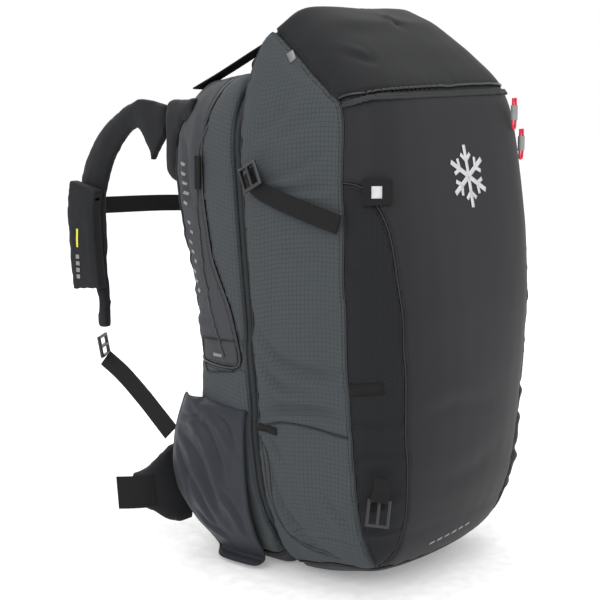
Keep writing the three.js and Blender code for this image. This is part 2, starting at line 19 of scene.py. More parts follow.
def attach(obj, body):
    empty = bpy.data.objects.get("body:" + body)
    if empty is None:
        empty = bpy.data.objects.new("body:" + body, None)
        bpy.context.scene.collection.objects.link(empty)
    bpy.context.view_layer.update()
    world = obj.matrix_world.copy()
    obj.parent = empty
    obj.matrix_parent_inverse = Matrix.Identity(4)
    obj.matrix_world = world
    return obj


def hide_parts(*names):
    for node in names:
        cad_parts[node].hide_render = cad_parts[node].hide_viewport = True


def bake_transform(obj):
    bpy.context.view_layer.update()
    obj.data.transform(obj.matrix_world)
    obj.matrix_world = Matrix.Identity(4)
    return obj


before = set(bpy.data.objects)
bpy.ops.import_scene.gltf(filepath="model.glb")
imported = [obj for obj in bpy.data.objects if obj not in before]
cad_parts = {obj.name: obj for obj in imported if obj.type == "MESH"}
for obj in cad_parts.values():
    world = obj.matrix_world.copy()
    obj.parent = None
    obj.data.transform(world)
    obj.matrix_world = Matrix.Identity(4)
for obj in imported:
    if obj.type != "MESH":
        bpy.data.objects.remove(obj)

scene = bpy.context.scene
MM = 0.001
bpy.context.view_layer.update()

# %% [markdown]
# ## The camera
# The camera comes first, because it decides how fine the cloth has to be. It stands about 1.6 m away at the
# wearer's left front corner, a little above the middle of the pack, with a long lens that keeps upright
# seams almost parallel.

# %% Camera
CAMERA_PLACE = Vector((-1.256, -1.028, 0.568))
CAMERA_TURN = math.radians(-50)
CAMERA_RISE = math.radians(10)

camera = bpy.data.objects.new("camera", bpy.data.cameras.new("camera"))
scene.collection.objects.link(camera)
scene.camera = camera
camera.data.lens = 86.9
camera.data.sensor_width = 36
camera.location = CAMERA_PLACE
towards_camera = Vector((
    math.sin(CAMERA_TURN) * math.cos(CAMERA_RISE),
    -math.cos(CAMERA_TURN) * math.cos(CAMERA_RISE),
    math.sin(CAMERA_RISE),
))
camera.rotation_euler = (-towards_camera).to_track_quat("-Z", "Y").to_euler()
print("camera", tuple(CAMERA_PLACE))

# %% [markdown]
# ## Floor and studio light
# A pack in near-black cloth shows its shape only by soft, wide reflections. One large softbox stands high
# on the left of the camera and gives the side panels their pale sheen, a weaker one fills the front, and a
# white surrounding lifts the shadows. The floor is matt white, so that only a soft shadow lies under the
# pack.


# %% Studio
def softbox(name, place, target, size, power):
    lamp = bpy.data.lights.new(name, "AREA")
    lamp.shape = "RECTANGLE"
    lamp.size, lamp.size_y = size
    lamp.energy = power
    stand = bpy.data.objects.new(name, lamp)
    scene.collection.objects.link(stand)
    stand.location = place
    stand.rotation_euler = (Vector(target) - Vector(place)).to_track_quat("-Z", "Y").to_euler()
    return stand


softbox("key_softbox", (-2.2, -0.9, 1.7), (0, 0, 0.3), (1.4, 1.4), 24)
softbox("front_softbox", (-0.3, -2.6, 1.5), (0, 0, 0.3), (1.6, 1.2), 8)
softbox("back_softbox", (0.8, 2.2, 1.6), (0, 0, 0.3), (1.6, 1.2), 14)
softbox("top_softbox", (0, 0, 2.6), (0, 0, 0), (2.2, 2.2), 22)

surroundings = bpy.data.worlds.new("white_studio")
surroundings.use_nodes = True
surroundings.node_tree.nodes["Background"].inputs["Color"].default_value = (1, 1, 1, 1)
surroundings.node_tree.nodes["Background"].inputs["Strength"].default_value = 1.0
scene.world = surroundings
scene.view_settings.view_transform = "Standard"

FLOOR_REACH = 6.0
floor_mesh = bpy.data.meshes.new("floor")
floor_mesh.from_pydata(
    [(x, y, 0) for x, y in ((-1, -1), (1, -1), (1, 1), (-1, 1))], [], [(0, 1, 2, 3)]
)
floor_mesh.transform(Matrix.Scale(FLOOR_REACH, 4))
floor = bpy.data.objects.new("floor", floor_mesh)
scene.collection.objects.link(floor)

# %% [markdown]
# ## Materials
# Every cloth here is one recipe with different numbers: a base colour that varies slowly as dyed cloth
# does, a fine weave, and for the ripstop a grid of thicker threads. The grid is counted in metres over a
# map called "weave", which every piece carries, so that it has the same real size everywhere. A second
# value on each vertex, "seam", is the distance to the nearest seam. It draws the stitch line beside each
# seam.


# %% Node helpers
class Recipe:
    """Collects the nodes of one material and joins them."""

    def __init__(self, name, roughness, metallic=0.0):
        self.material = bpy.data.materials.new(name)
        self.material.use_nodes = True
        self.tree = self.material.node_tree
        self.shader = self.tree.nodes["Principled BSDF"]
        self.shader.inputs["Roughness"].default_value = roughness
        self.shader.inputs["Metallic"].default_value = metallic

    def node(self, kind, **settings):
        made = self.tree.nodes.new("ShaderNode" + kind)
        for key, value in settings.items():
            setattr(made, key, value)
        return made

    def join(self, source, target):
        self.tree.links.new(source, target)

    def put(self, value, socket):
        if isinstance(value, (int, float)):
            socket.default_value = value
        else:
            self.join(value, socket)

    def math(self, operation, a, b=0.0, clamp=False):
        made = self.node("Math", operation=operation, use_clamp=clamp)
        self.put(a, made.inputs[0])
        self.put(b, made.inputs[1])
        return made.outputs[0]

    def noise(self, vector, scale, detail=3.0, rough=0.55):
        made = self.node("TexNoise")
        self.join(vector, made.inputs["Vector"])
        made.inputs["Scale"].default_value = scale
        made.inputs["Detail"].default_value = detail
        made.inputs["Roughness"].default_value = rough
        return made.outputs["Fac"]

    def mix(self, share, a, b):
        made = self.node("Mix", data_type="RGBA")
        self.put(share, made.inputs[0])
        for value, socket in ((a, made.inputs[6]), (b, made.inputs[7])):
            if isinstance(value, tuple):
                socket.default_value = (*value, 1)
            else:
                self.join(value, socket)
        return made.outputs[2]

    def weave(self):
        made = self.node("UVMap", uv_map="weave")
        split = self.node("SeparateXYZ")
        self.join(made.outputs["UV"], split.inputs[0])
        return made.outputs["UV"], split.outputs[0], split.outputs[1]

    def line(self, along, pitch, width):
        """1 on a thin line at every pitch metres, 0 between."""
        away = self.math("PINGPONG", along, pitch / 2)
        return self.math("LESS_THAN", away, width / 2)

    def bump(self, height, strength, distance):
        made = self.node("Bump")
        made.inputs["Strength"].default_value = strength
        made.inputs["Distance"].default_value = distance
        self.join(height, made.inputs["Height"])
        self.join(made.outputs["Normal"], self.shader.inputs["Normal"])


def shade(colour, factor):
    return tuple(min(1.0, c * factor) for c in colour)


# %% [markdown]
# ### Cloth
# Ripstop is a light plain weave with a doubled thread every few millimetres in both directions. The thicker
# threads lie a little proud and look darker, because light slips between them. A soft sheen stands for the
# fibre ends that catch light at grazing angles.


# %% Cloth recipe
def cloth(name, colour, grid=0.0, thread=0.0007, dark=0.62, roughness=0.8, sheen=0.03, bump=0.5,
          stitched=True, mottle=0.12):
    recipe = Recipe(name, roughness)
    place, across, along = recipe.weave()
    slow = recipe.noise(place, 9.0)
    fine = recipe.noise(place, 900.0, 2.0, 0.7)
    tone = recipe.mix(slow, shade(colour, 1 - mottle), shade(colour, 1 + mottle))
    height = recipe.math("MULTIPLY", fine, 0.5)
    if grid:
        lines = recipe.math("MAXIMUM", recipe.line(across, grid, thread), recipe.line(along, grid, thread))
        strength = recipe.math("ADD", recipe.math("MULTIPLY", slow, 0.9), 0.25)
        faded = recipe.math("MULTIPLY", lines, strength, True)
        tone = recipe.mix(faded, tone, shade(colour, dark))
        height = recipe.math("ADD", height, recipe.math("MULTIPLY", lines, 0.9))
    tone = recipe.mix(recipe.math("MULTIPLY", fine, 0.35), tone, shade(colour, 0.6))
    if stitched:
        seam = recipe.node("Attribute", attribute_name="seam").outputs["Fac"]
        away = recipe.math("ABSOLUTE", recipe.math("SUBTRACT", seam, 0.0045))
        row = recipe.math("LESS_THAN", away, 0.0005)
        diagonal = recipe.math("ADD", across, along)
        dash = recipe.math("LESS_THAN", recipe.math("PINGPONG", diagonal, 0.0018), 0.0012)
        stitch = recipe.math("MULTIPLY", row, dash)
        tone = recipe.mix(stitch, tone, shade(colour, 0.35))
        height = recipe.math("SUBTRACT", height, recipe.math("MULTIPLY", row, 1.2))
    recipe.join(tone, recipe.shader.inputs["Base Color"])
    recipe.bump(height, bump, 0.0004)
    recipe.shader.inputs["Sheen Weight"].default_value = sheen
    recipe.shader.inputs["Sheen Roughness"].default_value = 0.5
    recipe.shader.inputs["Specular IOR Level"].default_value = 0.18
    return recipe.material


RIPSTOP = cloth("ripstop", (0.050, 0.057, 0.061), grid=0.0048)
GUSSET_CLOTH = cloth("gusset_ripstop", (0.011, 0.0115, 0.0135), grid=0.0052, dark=0.7)
COVER_CLOTH = cloth("cover_ripstop", (0.048, 0.050, 0.055), grid=0.0036, thread=0.0005, dark=0.75)
FRONT_CLOTH = cloth("stretch_face", (0.014, 0.0143, 0.0165), roughness=0.62, sheen=0.05, bump=0.3,
                    mottle=0.06)
LID_CLOTH = cloth("lid_face", (0.009, 0.0095, 0.0105), roughness=0.7, sheen=0.05, bump=0.35, mottle=0.08)
BASE_CLOTH = cloth("base_face", (0.040, 0.041, 0.044), roughness=0.75, bump=0.4)
LINING = cloth("lining", (0.03, 0.032, 0.035), roughness=0.6, stitched=False)
POCKET_CLOTH = cloth("pocket_stretch", (0.022, 0.024, 0.032), roughness=0.5, sheen=0.04, bump=0.25,
                     stitched=False)
PAD_CLOTH = cloth("pad_face", (0.012, 0.0125, 0.0145), grid=0.0030, thread=0.0004, dark=0.85, roughness=0.72,
                  stitched=False)
BINDING = cloth("binding", (0.017, 0.018, 0.020), roughness=0.7, stitched=False)
AIRBAG_CLOTH = cloth("airbag_nylon", (0.72, 0.13, 0.02), grid=0.006, roughness=0.5, stitched=False)
print("cloths:", len(bpy.data.materials))

# %% [markdown]
# ### Webbing, plastic, metal and the rest
# Webbing is woven in ribs across its length, with a lip at both edges, and has painted shade darkening the
# valleys between its ribs. Moulded plastic gets a fine grain and a slightly worn, paler tone. Each of them
# has a little colour change in it, as nothing real is one flat colour.


# %% Webbing and hard finishes
def webbing_recipe(name, colour, ribs=0.0016, width=0.02):
    recipe = Recipe(name, 0.68)
    place, across, along = recipe.weave()
    rib = recipe.math("PINGPONG", along, ribs / 2)
    rib = recipe.math("DIVIDE", rib, ribs / 2)
    cross = recipe.math("PINGPONG", recipe.math("ADD", across, along), ribs / 2)
    cross = recipe.math("DIVIDE", cross, ribs / 2)
    height = recipe.math("ADD", rib, recipe.math("MULTIPLY", cross, 0.4))
    wear = recipe.noise(place, 60.0)
    # Painted shade and highlight: darker in the valleys between the ribs, paler on their tops.
    tone = recipe.mix(rib, shade(colour, 0.65), shade(colour, 1.25))
    tone = recipe.mix(recipe.math("MULTIPLY", wear, 0.5), tone, shade(colour, 1.7))
    recipe.join(tone, recipe.shader.inputs["Base Color"])
    recipe.bump(height, 0.7, 0.0004)
    recipe.shader.inputs["Specular IOR Level"].default_value = 0.2
    return recipe.material


def hard_recipe(name, colour, roughness, metallic=0.0, grain=1400.0):
    recipe = Recipe(name, roughness, metallic)
    place = recipe.node("TexCoord").outputs["Object"]
    worn = recipe.noise(place, 70.0)
    tone = recipe.mix(worn, shade(colour, 0.8), shade(colour, 1.3))
    recipe.join(tone, recipe.shader.inputs["Base Color"])
    recipe.bump(recipe.noise(place, grain, 2.0), 0.25, 0.0002)
    return recipe.material


WEBBING = webbing_recipe("webbing", (0.0045, 0.0045, 0.005))
TAPE = webbing_recipe("zip_tape", (0.022, 0.023, 0.023), ribs=0.0024)
PLASTIC = hard_recipe("buckle_acetal", (0.012, 0.012, 0.013), 0.38)
UNIT_PLASTIC = hard_recipe("moulded_nylon", (0.03, 0.03, 0.032), 0.5)
ALLOY = hard_recipe("brushed_alloy", (0.6, 0.61, 0.62), 0.35, 1.0)
COIL = hard_recipe("zip_coil", (0.008, 0.008, 0.009), 0.35)
# Near-black: real thread in the stitch rows, and painted seam shade where it lies in the seam grooves.
SEAM_SHADE_AND_THREAD = hard_recipe("seam_shade_and_thread", (0.006, 0.006, 0.007), 0.6)
REFLECTIVE = hard_recipe("reflective_print", (0.46, 0.46, 0.48), 0.45)
SILVER_TAB = hard_recipe("silver_tab", (0.16, 0.16, 0.17), 0.3, 0.4)
YELLOW = hard_recipe("yellow_print", (0.62, 0.60, 0.03), 0.5)
RED = hard_recipe("red_cord", (0.60, 0.012, 0.05), 0.5, grain=900.0)
GREY_SLEEVE = hard_recipe("grey_sleeve", (0.20, 0.20, 0.20), 0.45)
FLOOR_WHITE = hard_recipe("floor_white", (0.80, 0.80, 0.805), 0.9, grain=30.0)
glow = FLOOR_WHITE.node_tree.nodes["Principled BSDF"]
glow.inputs["Emission Color"].default_value = (1, 1, 1, 1)
glow.inputs["Emission Strength"].default_value = 0.22
floor.data.materials.append(FLOOR_WHITE)


def spacer_mesh(name, colour, pitch=0.0042):
    recipe = Recipe(name, 0.85)
    place, across, along = recipe.weave()
    hole = recipe.node("TexVoronoi", feature="F1")
    recipe.join(place, hole.inputs["Vector"])
    hole.inputs["Scale"].default_value = 1 / pitch
    hole.inputs["Randomness"].default_value = 0.15
    depth = recipe.math("SMOOTH_MIN", hole.outputs["Distance"], 0.6)
    # Painted shade: darker in the holes of the mesh, paler on the rims between them.
    tone = recipe.mix(depth, shade(colour, 0.25), shade(colour, 1.5))
    recipe.join(tone, recipe.shader.inputs["Base Color"])
    recipe.bump(depth, 0.8, 0.001)
    return recipe.material


MESH_CLOTH = spacer_mesh("spacer_mesh", (0.030, 0.031, 0.033))
print("finishes:", len(bpy.data.materials))

# %% [markdown]
# ## Piece helpers
# Each piece is a mesh built from arrays of points and faces. It gets its weave map, its material, the body
# that it rides on and the CAD nodes that it stands for in one place.


# %% Making a piece
def weave_map(mesh, values=None):
    """Gives the mesh its weave map: from values per vertex, or seen from each face's broad side."""
    layer = mesh.uv_layers.new(name="weave")
    points = np.empty(len(mesh.vertices) * 3)
    mesh.vertices.foreach_get("co", points)
    points = points.reshape(-1, 3)
    corners = np.empty(len(mesh.loops), int)
    mesh.loops.foreach_get("vertex_index", corners)
    if values is not None:
        flat = np.asarray(values)[corners]
    else:
        normals = np.empty(len(mesh.polygons) * 3)
        mesh.polygons.foreach_get("normal", normals)
        broad = np.abs(normals.reshape(-1, 3)).argmax(1)
        sizes = np.empty(len(mesh.polygons), int)
        mesh.polygons.foreach_get("loop_total", sizes)
        side = np.repeat(broad, sizes)
        pairs = np.array([[1, 2], [0, 2], [0, 1]])[side]
        flat = np.take_along_axis(points[corners], pairs, 1)
    layer.data.foreach_set("uv", flat.astype(np.float32).ravel())


def piece(name, points, faces, material, body, replaces=(), weave=None, seam=None, thick=0.0):
    mesh = bpy.data.meshes.new(name)
    mesh.from_pydata([(x, y, max(z, 0.0008)) for x, y, z in points], [], [tuple(f) for f in faces])
    mesh.update()
    return dress(mesh, name, material, body, replaces, weave, seam, thick)


def dress(mesh, name, material, body, replaces=(), weave=None, seam=None, thick=0.0):
    """body is one body's name, or (body, body, start, end) for cloth between two of them; the parts of such a
    tuple are not used, and the piece is attached to no body.
    """
    mesh.shade_smooth()
    weave_map(mesh, weave)
    if seam is not None:
        mesh.attributes.new("seam", "FLOAT", "POINT").data.foreach_set("value", seam.astype(np.float32))
    mesh.materials.clear()
    mesh.materials.append(material)
    thing = bpy.data.objects.new(name, mesh)
    scene.collection.objects.link(thing)
    if thick:
        shell = thing.modifiers.new("thickness", "SOLIDIFY")
        shell.thickness = thick
        shell.offset = -1
    if isinstance(body, tuple):
        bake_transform(thing)
    else:
        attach(thing, body)
    if replaces:
        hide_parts(*replaces)
    return thing


def smooth_path(points, count, closed=False):
    """count points along a Catmull-Rom curve through the given ones, evenly spaced."""
    given = [np.array(p, float) for p in points]
    if closed:
        given = [given[-1]] + given + given[:2]
    else:
        given = [2 * given[0] - given[1]] + given + [2 * given[-1] - given[-2]]
    dense = []
    for a, b, c, d in zip(given, given[1:], given[2:], given[3:]):
        for t in np.linspace(0, 1, 24, endpoint=False):
            dense.append(0.5 * (2 * b + (c - a) * t + (2 * a - 5 * b + 4 * c - d) * t ** 2
                                + (3 * b - a - 3 * c + d) * t ** 3))
    dense.append(given[-2])
    dense = np.array(dense)
    steps = np.concatenate([[0], np.cumsum(np.linalg.norm(np.diff(dense, axis=0), axis=1))])
    wanted = np.linspace(0, steps[-1], count)
    return np.column_stack([np.interp(wanted, steps, dense[:, k]) for k in range(3)])


def mirrored(points):
    return [(-x, y, z) for x, y, z in points]


def cordlet(name, paths, radius, material, body, sides=8):
    """Thin round cord, also the painted seam shade: one tube per path, all in one piece. Paths are points in
    metres.
    """
    points, faces, weave = [], [], []
    for path in paths:
        path = np.asarray(path, float)
        tangents = np.gradient(path, axis=0)
        tangents /= np.linalg.norm(tangents, axis=1)[:, None] + 1e-12
        side = np.cross(tangents[0], (0.1, 0.3, 1.0))
        start = len(points)
        run = 0.0
        for i, (p, tangent) in enumerate(zip(path, tangents)):
            side = side - tangent * (side @ tangent)
            side /= np.linalg.norm(side) + 1e-12
            up = np.cross(tangent, side)
            run += np.linalg.norm(p - path[i - 1]) if i else 0.0
            for k in range(sides):
                turn = 2 * math.pi * k / sides
                points.append(p + radius * (math.cos(turn) * side + math.sin(turn) * up))
                weave.append((radius * turn, run))
        rings = len(path)
        for i in range(rings - 1):
            for k in range(sides):
                a, b = start + i * sides + k, start + i * sides + (k + 1) % sides
                faces.append((a, b, b + sides, a + sides))
        faces.append(tuple(start + k for k in range(sides))[::-1])
        faces.append(tuple(start + (rings - 1) * sides + k for k in range(sides)))
    return piece(name, points, faces, material, body, weave=weave)


def strap(name, path, width, thickness, across, body, material=None, replaces=(), count=60):
    """Flat webbing along a path in metres. across is the way its width lies, fixed or one per point; the
    section is rounded at both edges."""
    path = smooth_path(path, count)
    tangents = np.gradient(path, axis=0)
    tangents /= np.linalg.norm(tangents, axis=1)[:, None]
    widths = np.broadcast_to(np.interp(np.linspace(0, 1, count), np.linspace(0, 1, np.size(width)),
                                       np.atleast_1d(width)), (count,))
    ways = np.array(across, float)
    if ways.ndim == 1:
        ways = np.repeat(ways[None], 2, 0)
    spread = np.linspace(0, 1, len(ways))
    sides = np.column_stack([np.interp(np.linspace(0, 1, count), spread, ways[:, k]) for k in range(3)])
    outline = [(-1.0, 0.0), (-0.97, 0.42), (-0.85, 0.5), (-0.4, 0.5), (0.0, 0.5), (0.4, 0.5), (0.85, 0.5),
               (0.97, 0.42), (1.0, 0.0), (0.97, -0.42), (0.85, -0.5), (0.4, -0.5), (0.0, -0.5), (-0.4, -0.5),
               (-0.85, -0.5), (-0.97, -0.42)]
    points, faces, weave = [], [], []
    run = 0.0
    for i in range(count):
        run += np.linalg.norm(path[i] - path[i - 1]) if i else 0.0
        side = sides[i] - tangents[i] * (sides[i] @ tangents[i])
        side /= np.linalg.norm(side)
        normal = np.cross(side, tangents[i])
        for u, h in outline:
            points.append(path[i] + side * (u * widths[i] / 2) + normal * (h * thickness))
            weave.append((u * widths[i] / 2, run))
    ring = len(outline)
    for i in range(count - 1):
        for k in range(ring):
            a, b = i * ring + k, i * ring + (k + 1) % ring
            faces.append((a, a + ring, b + ring, b))
    faces.append(tuple(range(ring)))
    faces.append(tuple((count - 1) * ring + k for k in range(ring))[::-1])
    return piece(name, points, faces, material or WEBBING, body, replaces, weave)


print("helpers ready")

# %% [markdown]
# ## Wrapping the cloth over the CAD
# The sewn panels of the pack could be modelled one by one, but then their seams would never meet. Here a
# fine grid is felt against the CAD panels from outside, ray by ray, and remembers which panel each ray met.
# The grid is then smoothed as cloth over its stuffing, creased and pulled in at the seams, and cut apart
# along them.


# %% Feeling the CAD
FAR = 0.6
STEEPEST = math.radians(88)
SLIPPED = 0.0015


def wrap(names, axis_low, axis_high, columns, rows):
    """Rays from outside towards an upright axis; at both ends the rays tilt until they point along it."""
    corners, faces, owner = [], [], []
    for number, name in enumerate(names):
        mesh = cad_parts[name].data
        faces += [[len(corners) + i for i in polygon.vertices] for polygon in mesh.polygons]
        owner += [number] * len(mesh.polygons)
        corners += [vertex.co.copy() for vertex in mesh.vertices]
    tree = BVHTree.FromPolygons(corners, faces)
    below, upright, above = rows
    aims = [(0.0, -STEEPEST * (1 - i / below)) for i in range(below)]
    aims += [(i / (upright - 1), 0.0) for i in range(upright)]
    aims += [(1.0, STEEPEST * (i + 1) / above) for i in range(above)]
    reach = np.zeros((len(aims), columns))
    label = np.zeros((len(aims), columns), int)
    way = np.zeros((len(aims), columns, 3))
    start = np.zeros((len(aims), columns, 3))
    for row, (share, rise) in enumerate(aims):
        point = Vector(axis_low).lerp(Vector(axis_high), share)
        for column in range(columns):
            turn = math.pi + 2 * math.pi * column / columns
            ray = Vector((math.sin(turn) * math.cos(rise), -math.cos(turn) * math.cos(rise), math.sin(rise)))
            _, _, face, away = tree.ray_cast(point + ray * FAR, -ray)
            way[row, column] = ray
            start[row, column] = point
            if face is not None:
                reach[row, column] = FAR - away
                label[row, column] = owner[face]
    return {"reach": reach, "label": label, "way": way, "start": start}


def neighbours(values):
    """The grid's values one step away, round the pack and up and down."""
    up = np.concatenate([values[1:], values[-1:]])
    down = np.concatenate([values[:1], values[:-1]])
    return np.stack([up, down, np.roll(values, 1, 1), np.roll(values, -1, 1)])


def smoothed(felt, rounds):
    """Fills the rays that slipped through the gaps between panels, then evens out the CAD's facets."""
    reach, label = felt["reach"].copy(), felt["label"].copy()
    for _ in range(3):
        around = neighbours(reach)
        middle = np.median(around, axis=0)
        bad = np.abs(reach - middle) > SLIPPED
        nearest = np.abs(around - middle).argmin(0)
        reach[bad] = middle[bad]
        label[bad] = np.take_along_axis(neighbours(label), nearest[None], 0)[0][bad]
    for _ in range(rounds):
        around = neighbours(reach)
        reach = 0.5 * reach + 0.125 * around.sum(0)
    return reach, label


class Skin:
    """The grid as points and faces, with a panel number on each face and the distance to its nearest seam."""

    def __init__(self, names, axis_low, axis_high, columns, rows, rounds):
        felt = wrap(names, axis_low, axis_high, columns, rows)
        reach, label = smoothed(felt, rounds)
        place = felt["start"] + felt["way"] * reach[..., None]
        self.names = names
        high_count, round_count = label.shape
        self.points = place.reshape(-1, 3)
        index = np.arange(high_count * round_count).reshape(high_count, round_count)
        east = np.roll(index, -1, 1)
        self.faces = np.stack([index[:-1], east[:-1], east[1:], index[1:]], -1).reshape(-1, 4)
        self.panel = label[:-1].reshape(-1)
        low, high = len(self.points), len(self.points) + 1
        self.points = np.vstack([self.points, place[0].mean(0), place[-1].mean(0)])
        caps = [(b, a, low, low) for a, b in zip(index[0], east[0])]
        caps += [(a, b, high, high) for a, b in zip(index[-1], east[-1])]
        self.caps = np.array(caps)
        self.cap_panel = np.concatenate([label[0], label[-1]])
        grid_panel = label[:-1]
        side = grid_panel != np.roll(grid_panel, -1, 1)
        rise = grid_panel[:-1] != grid_panel[1:]
        edges = [np.stack([east[:-1][side], east[1:][side]], -1),
                 np.stack([index[1:-1][rise], east[1:-1][rise]], -1)]
        pairs = [np.sort(np.stack([grid_panel[side], np.roll(grid_panel, -1, 1)[side]], -1), 1),
                 np.sort(np.stack([grid_panel[:-1][rise], grid_panel[1:][rise]], -1), 1)]
        self.seam_edges = np.concatenate(edges)
        self.seam_pairs = np.concatenate(pairs)
        self.ease_seams(30)
        self.measure()
        across = np.linalg.norm(np.roll(place, -1, 1) - place, axis=2)
        along = np.linalg.norm(np.concatenate([place[1:], place[-1:]]) - place, axis=2)
        v = np.cumsum(along, 0)
        u = np.broadcast_to(np.cumsum(across[high_count // 2])[None], v.shape)
        self.weave = np.vstack([np.stack([u, v], -1).reshape(-1, 2), np.zeros((2, 2))])

    def ease_seams(self, rounds):
        """Turns the stepped edges between panels into smooth seams."""
        a, b = self.seam_edges.T
        count = np.zeros(len(self.points))
        np.add.at(count, a, 1)
        np.add.at(count, b, 1)
        free = count == 2
        for _ in range(rounds):
            total = np.zeros_like(self.points)
            np.add.at(total, a, self.points[b])
            np.add.at(total, b, self.points[a])
            self.points[free] = 0.5 * self.points[free] + 0.25 * total[free]

    def measure(self):
        mesh = bpy.data.meshes.new("measure")
        mesh.from_pydata(self.points.tolist(), [], self.faces.tolist())
        normals = np.empty(len(self.points) * 3)
        mesh.vertex_normals.foreach_get("vector", normals)
        self.normals = normals.reshape(-1, 3)
        bpy.data.meshes.remove(mesh)
        on_seam = np.unique(self.seam_edges)
        tree = KDTree(len(on_seam))
        for i, corner in enumerate(on_seam):
            tree.insert(self.points[corner], i)
        tree.balance()
        self.seam_away = np.array([tree.find(p)[2] for p in self.points])
        owner = np.zeros(len(self.points), int)
        owner[self.faces.ravel()] = np.repeat(self.panel, 4)
        self.owner = owner

    def of(self, *names):
        """Which points belong to these panels."""
        wanted = [self.names.index(n) for n in names]
        return np.isin(self.owner, wanted)

    def move(self, offset):
        self.points = self.points + self.normals * offset[:, None]

    def seam_line(self, first, second, lift=0.0):
        """The seam between two panels as chains of points, in order."""
        pair = sorted((self.names.index(first), self.names.index(second)))
        edges = self.seam_edges[(self.seam_pairs == pair).all(1)]
        links = {}
        for a, b in edges:
            links.setdefault(a, []).append(b)
            links.setdefault(b, []).append(a)
        chains, used = [], set()
        for begin in sorted(links, key=lambda k: len(links[k])):
            if begin in used:
                continue
            chain = [begin]
            used.add(begin)
            while True:
                following = [n for n in links[chain[-1]] if n not in used]
                if not following:
                    break
                chain.append(following[0])
                used.add(following[0])
            if len(chain) > 8:
                chains.append(self.points[chain] + self.normals[chain] * lift)
        return chains

    def cut_out(self, panel, name, material, body, replaces, depth=0.0018, thick=0.0012):
        """Makes one panel a piece of its own. Its edge turns in by depth, which makes the seam's groove."""
        number = self.names.index(panel)
        quads = self.faces[self.panel == number]
        fans = self.caps[self.cap_panel == number][:, :3]
        used, quads_again = np.unique(np.concatenate([quads.ravel(), fans.ravel()]), return_inverse=True)
        faces = quads_again[:quads.size].reshape(-1, 4).tolist()
        faces += quads_again[quads.size:].reshape(-1, 3).tolist()
        points = self.points[used].copy()
        edge = self.seam_away[used] < 1e-6
        points[edge] -= self.normals[used][edge] * depth
        return piece(name, points, faces, material, body, replaces, self.weave[used],
                     self.seam_away[used], thick)


# %% [markdown]
# ## Folds and crumples
# Loaded cloth has three kinds of relief. It bellies out between its seams, it gathers in small puckers
# right at them, and it has a few long tension folds from the places that pull. The long ones are drawn as
# lines with a width and a depth. The small ones come from noise that fades with the distance to a seam.


# %% Relief
def crumple(points, scale, stretch=(1, 1, 1), seed=0.0):
    return np.array([
        noise.fractal(Vector(p * np.array(stretch)) * scale + Vector((seed, seed, seed)), 0.7, 2.0, 3)
        for p in points
    ])


def folds(points, lines, plane=(1, 2)):
    """Each line is (points in mm in the plane, width in mm, depth in mm). A valley with a ridge beside it."""
    flat = points[:, plane] / MM
    total = np.zeros(len(points))
    for line, width, depth in lines:
        line = smooth_path([(*p, 0) for p in line], 24)[:, :2]
        best = np.full(len(points), 1e9)
        share = np.zeros(len(points))
        signed = np.zeros(len(points))
        for i, (a, b) in enumerate(zip(line, line[1:])):
            step = b - a
            t = np.clip(((flat - a) @ step) / (step @ step), 0, 1)
            gap = flat - a - t[:, None] * step
            away = np.hypot(*gap.T)
            closer = away < best
            best[closer] = away[closer]
            share[closer] = ((i + t) / (len(line) - 1))[closer]
            turn = step[0] * gap[:, 1] - step[1] * gap[:, 0]
            signed[closer] = (np.sign(turn) * away)[closer]
        fade = np.sin(np.pi * np.clip(share, 0.02, 0.98)) ** 0.6
        valley = np.exp(-(signed / width) ** 2)
        ridge = np.exp(-((signed - 1.9 * width) / (1.3 * width)) ** 2)
        total += 1.6 * fade * depth * MM * (0.75 * ridge - valley)
    return total


def relief(skin, panels, belly, crumpled, scale, stretch, pucker, seed, lines=(), plane=(1, 2)):
    """Adds up the three kinds of relief on some panels of a skin. Sizes in mm."""
    chosen = skin.of(*panels)
    points, away = skin.points[chosen], skin.seam_away[chosen]
    inward = 1 - np.exp(-away / 0.022)
    rise = belly * MM * inward
    rise += crumpled * MM * crumple(points, scale, stretch, seed) * inward
    gather = np.exp(-away / 0.009) * (1 - np.exp(-away / 0.0015))
    rise += pucker * MM * gather * crumple(points, 95.0, (1, 1, 1), seed + 7)
    if lines:
        rise += folds(points, lines, plane)
    offset = np.zeros(len(skin.points))
    offset[chosen] = rise
    return offset


# %% [markdown]
# ## The touring compartment
# Eight CAD panels make the compartment: the lid, the front, two gussets, two sides, the bottom, and the
# wall that zips to the base unit. One skin wraps them all.

# %% Compartment skin
BAG_PANELS = ["lid", "front_panel", "gusset_left", "gusset_right", "side_panel_left", "side_panel_right",
              "bottom_panel", "divider_wall"]
bag = Skin(BAG_PANELS, (0, -0.105, 0.07), (0, -0.10, 0.44), 320, (26, 124, 64), 26)

SIDE_FOLDS = [
    ([(-40, 428), (-80, 440), (-135, 470)], 5, 1.8),
    ([(-45, 424), (-90, 424), (-140, 430)], 4, 1.6),
    ([(-60, 470), (-95, 490), (-125, 508)], 6, 1.2),
    ([(-30, 470), (-70, 500), (-90, 540)], 7, 1.3),
    ([(-60, 555), (-85, 540), (-105, 538)], 3.5, 1.2),
    ([(-38, 285), (-70, 250), (-120, 238), (-156, 242)], 6, 3.2),
    ([(-40, 262), (-66, 226), (-105, 214)], 5, 2.2),
    ([(-44, 182), (-75, 196), (-120, 200), (-158, 196)], 5, 3.0),
    ([(-46, 176), (-70, 150), (-82, 132)], 4, 1.8),
    ([(-52, 168), (-60, 120), (-84, 70), (-130, 40)], 4.5, 2.4),
    ([(-120, 120), (-140, 100), (-160, 84)], 4, 1.6),
    ([(-150, 350), (-110, 362), (-60, 366)], 7, 1.2),
]
offset = np.zeros(len(bag.points))
for side in ("left", "right"):
    offset += relief(bag, [f"side_panel_{side}"], 2.4, 2.6, 13.0, (1, 1.6, 0.9), 1.6, 3.1, SIDE_FOLDS)
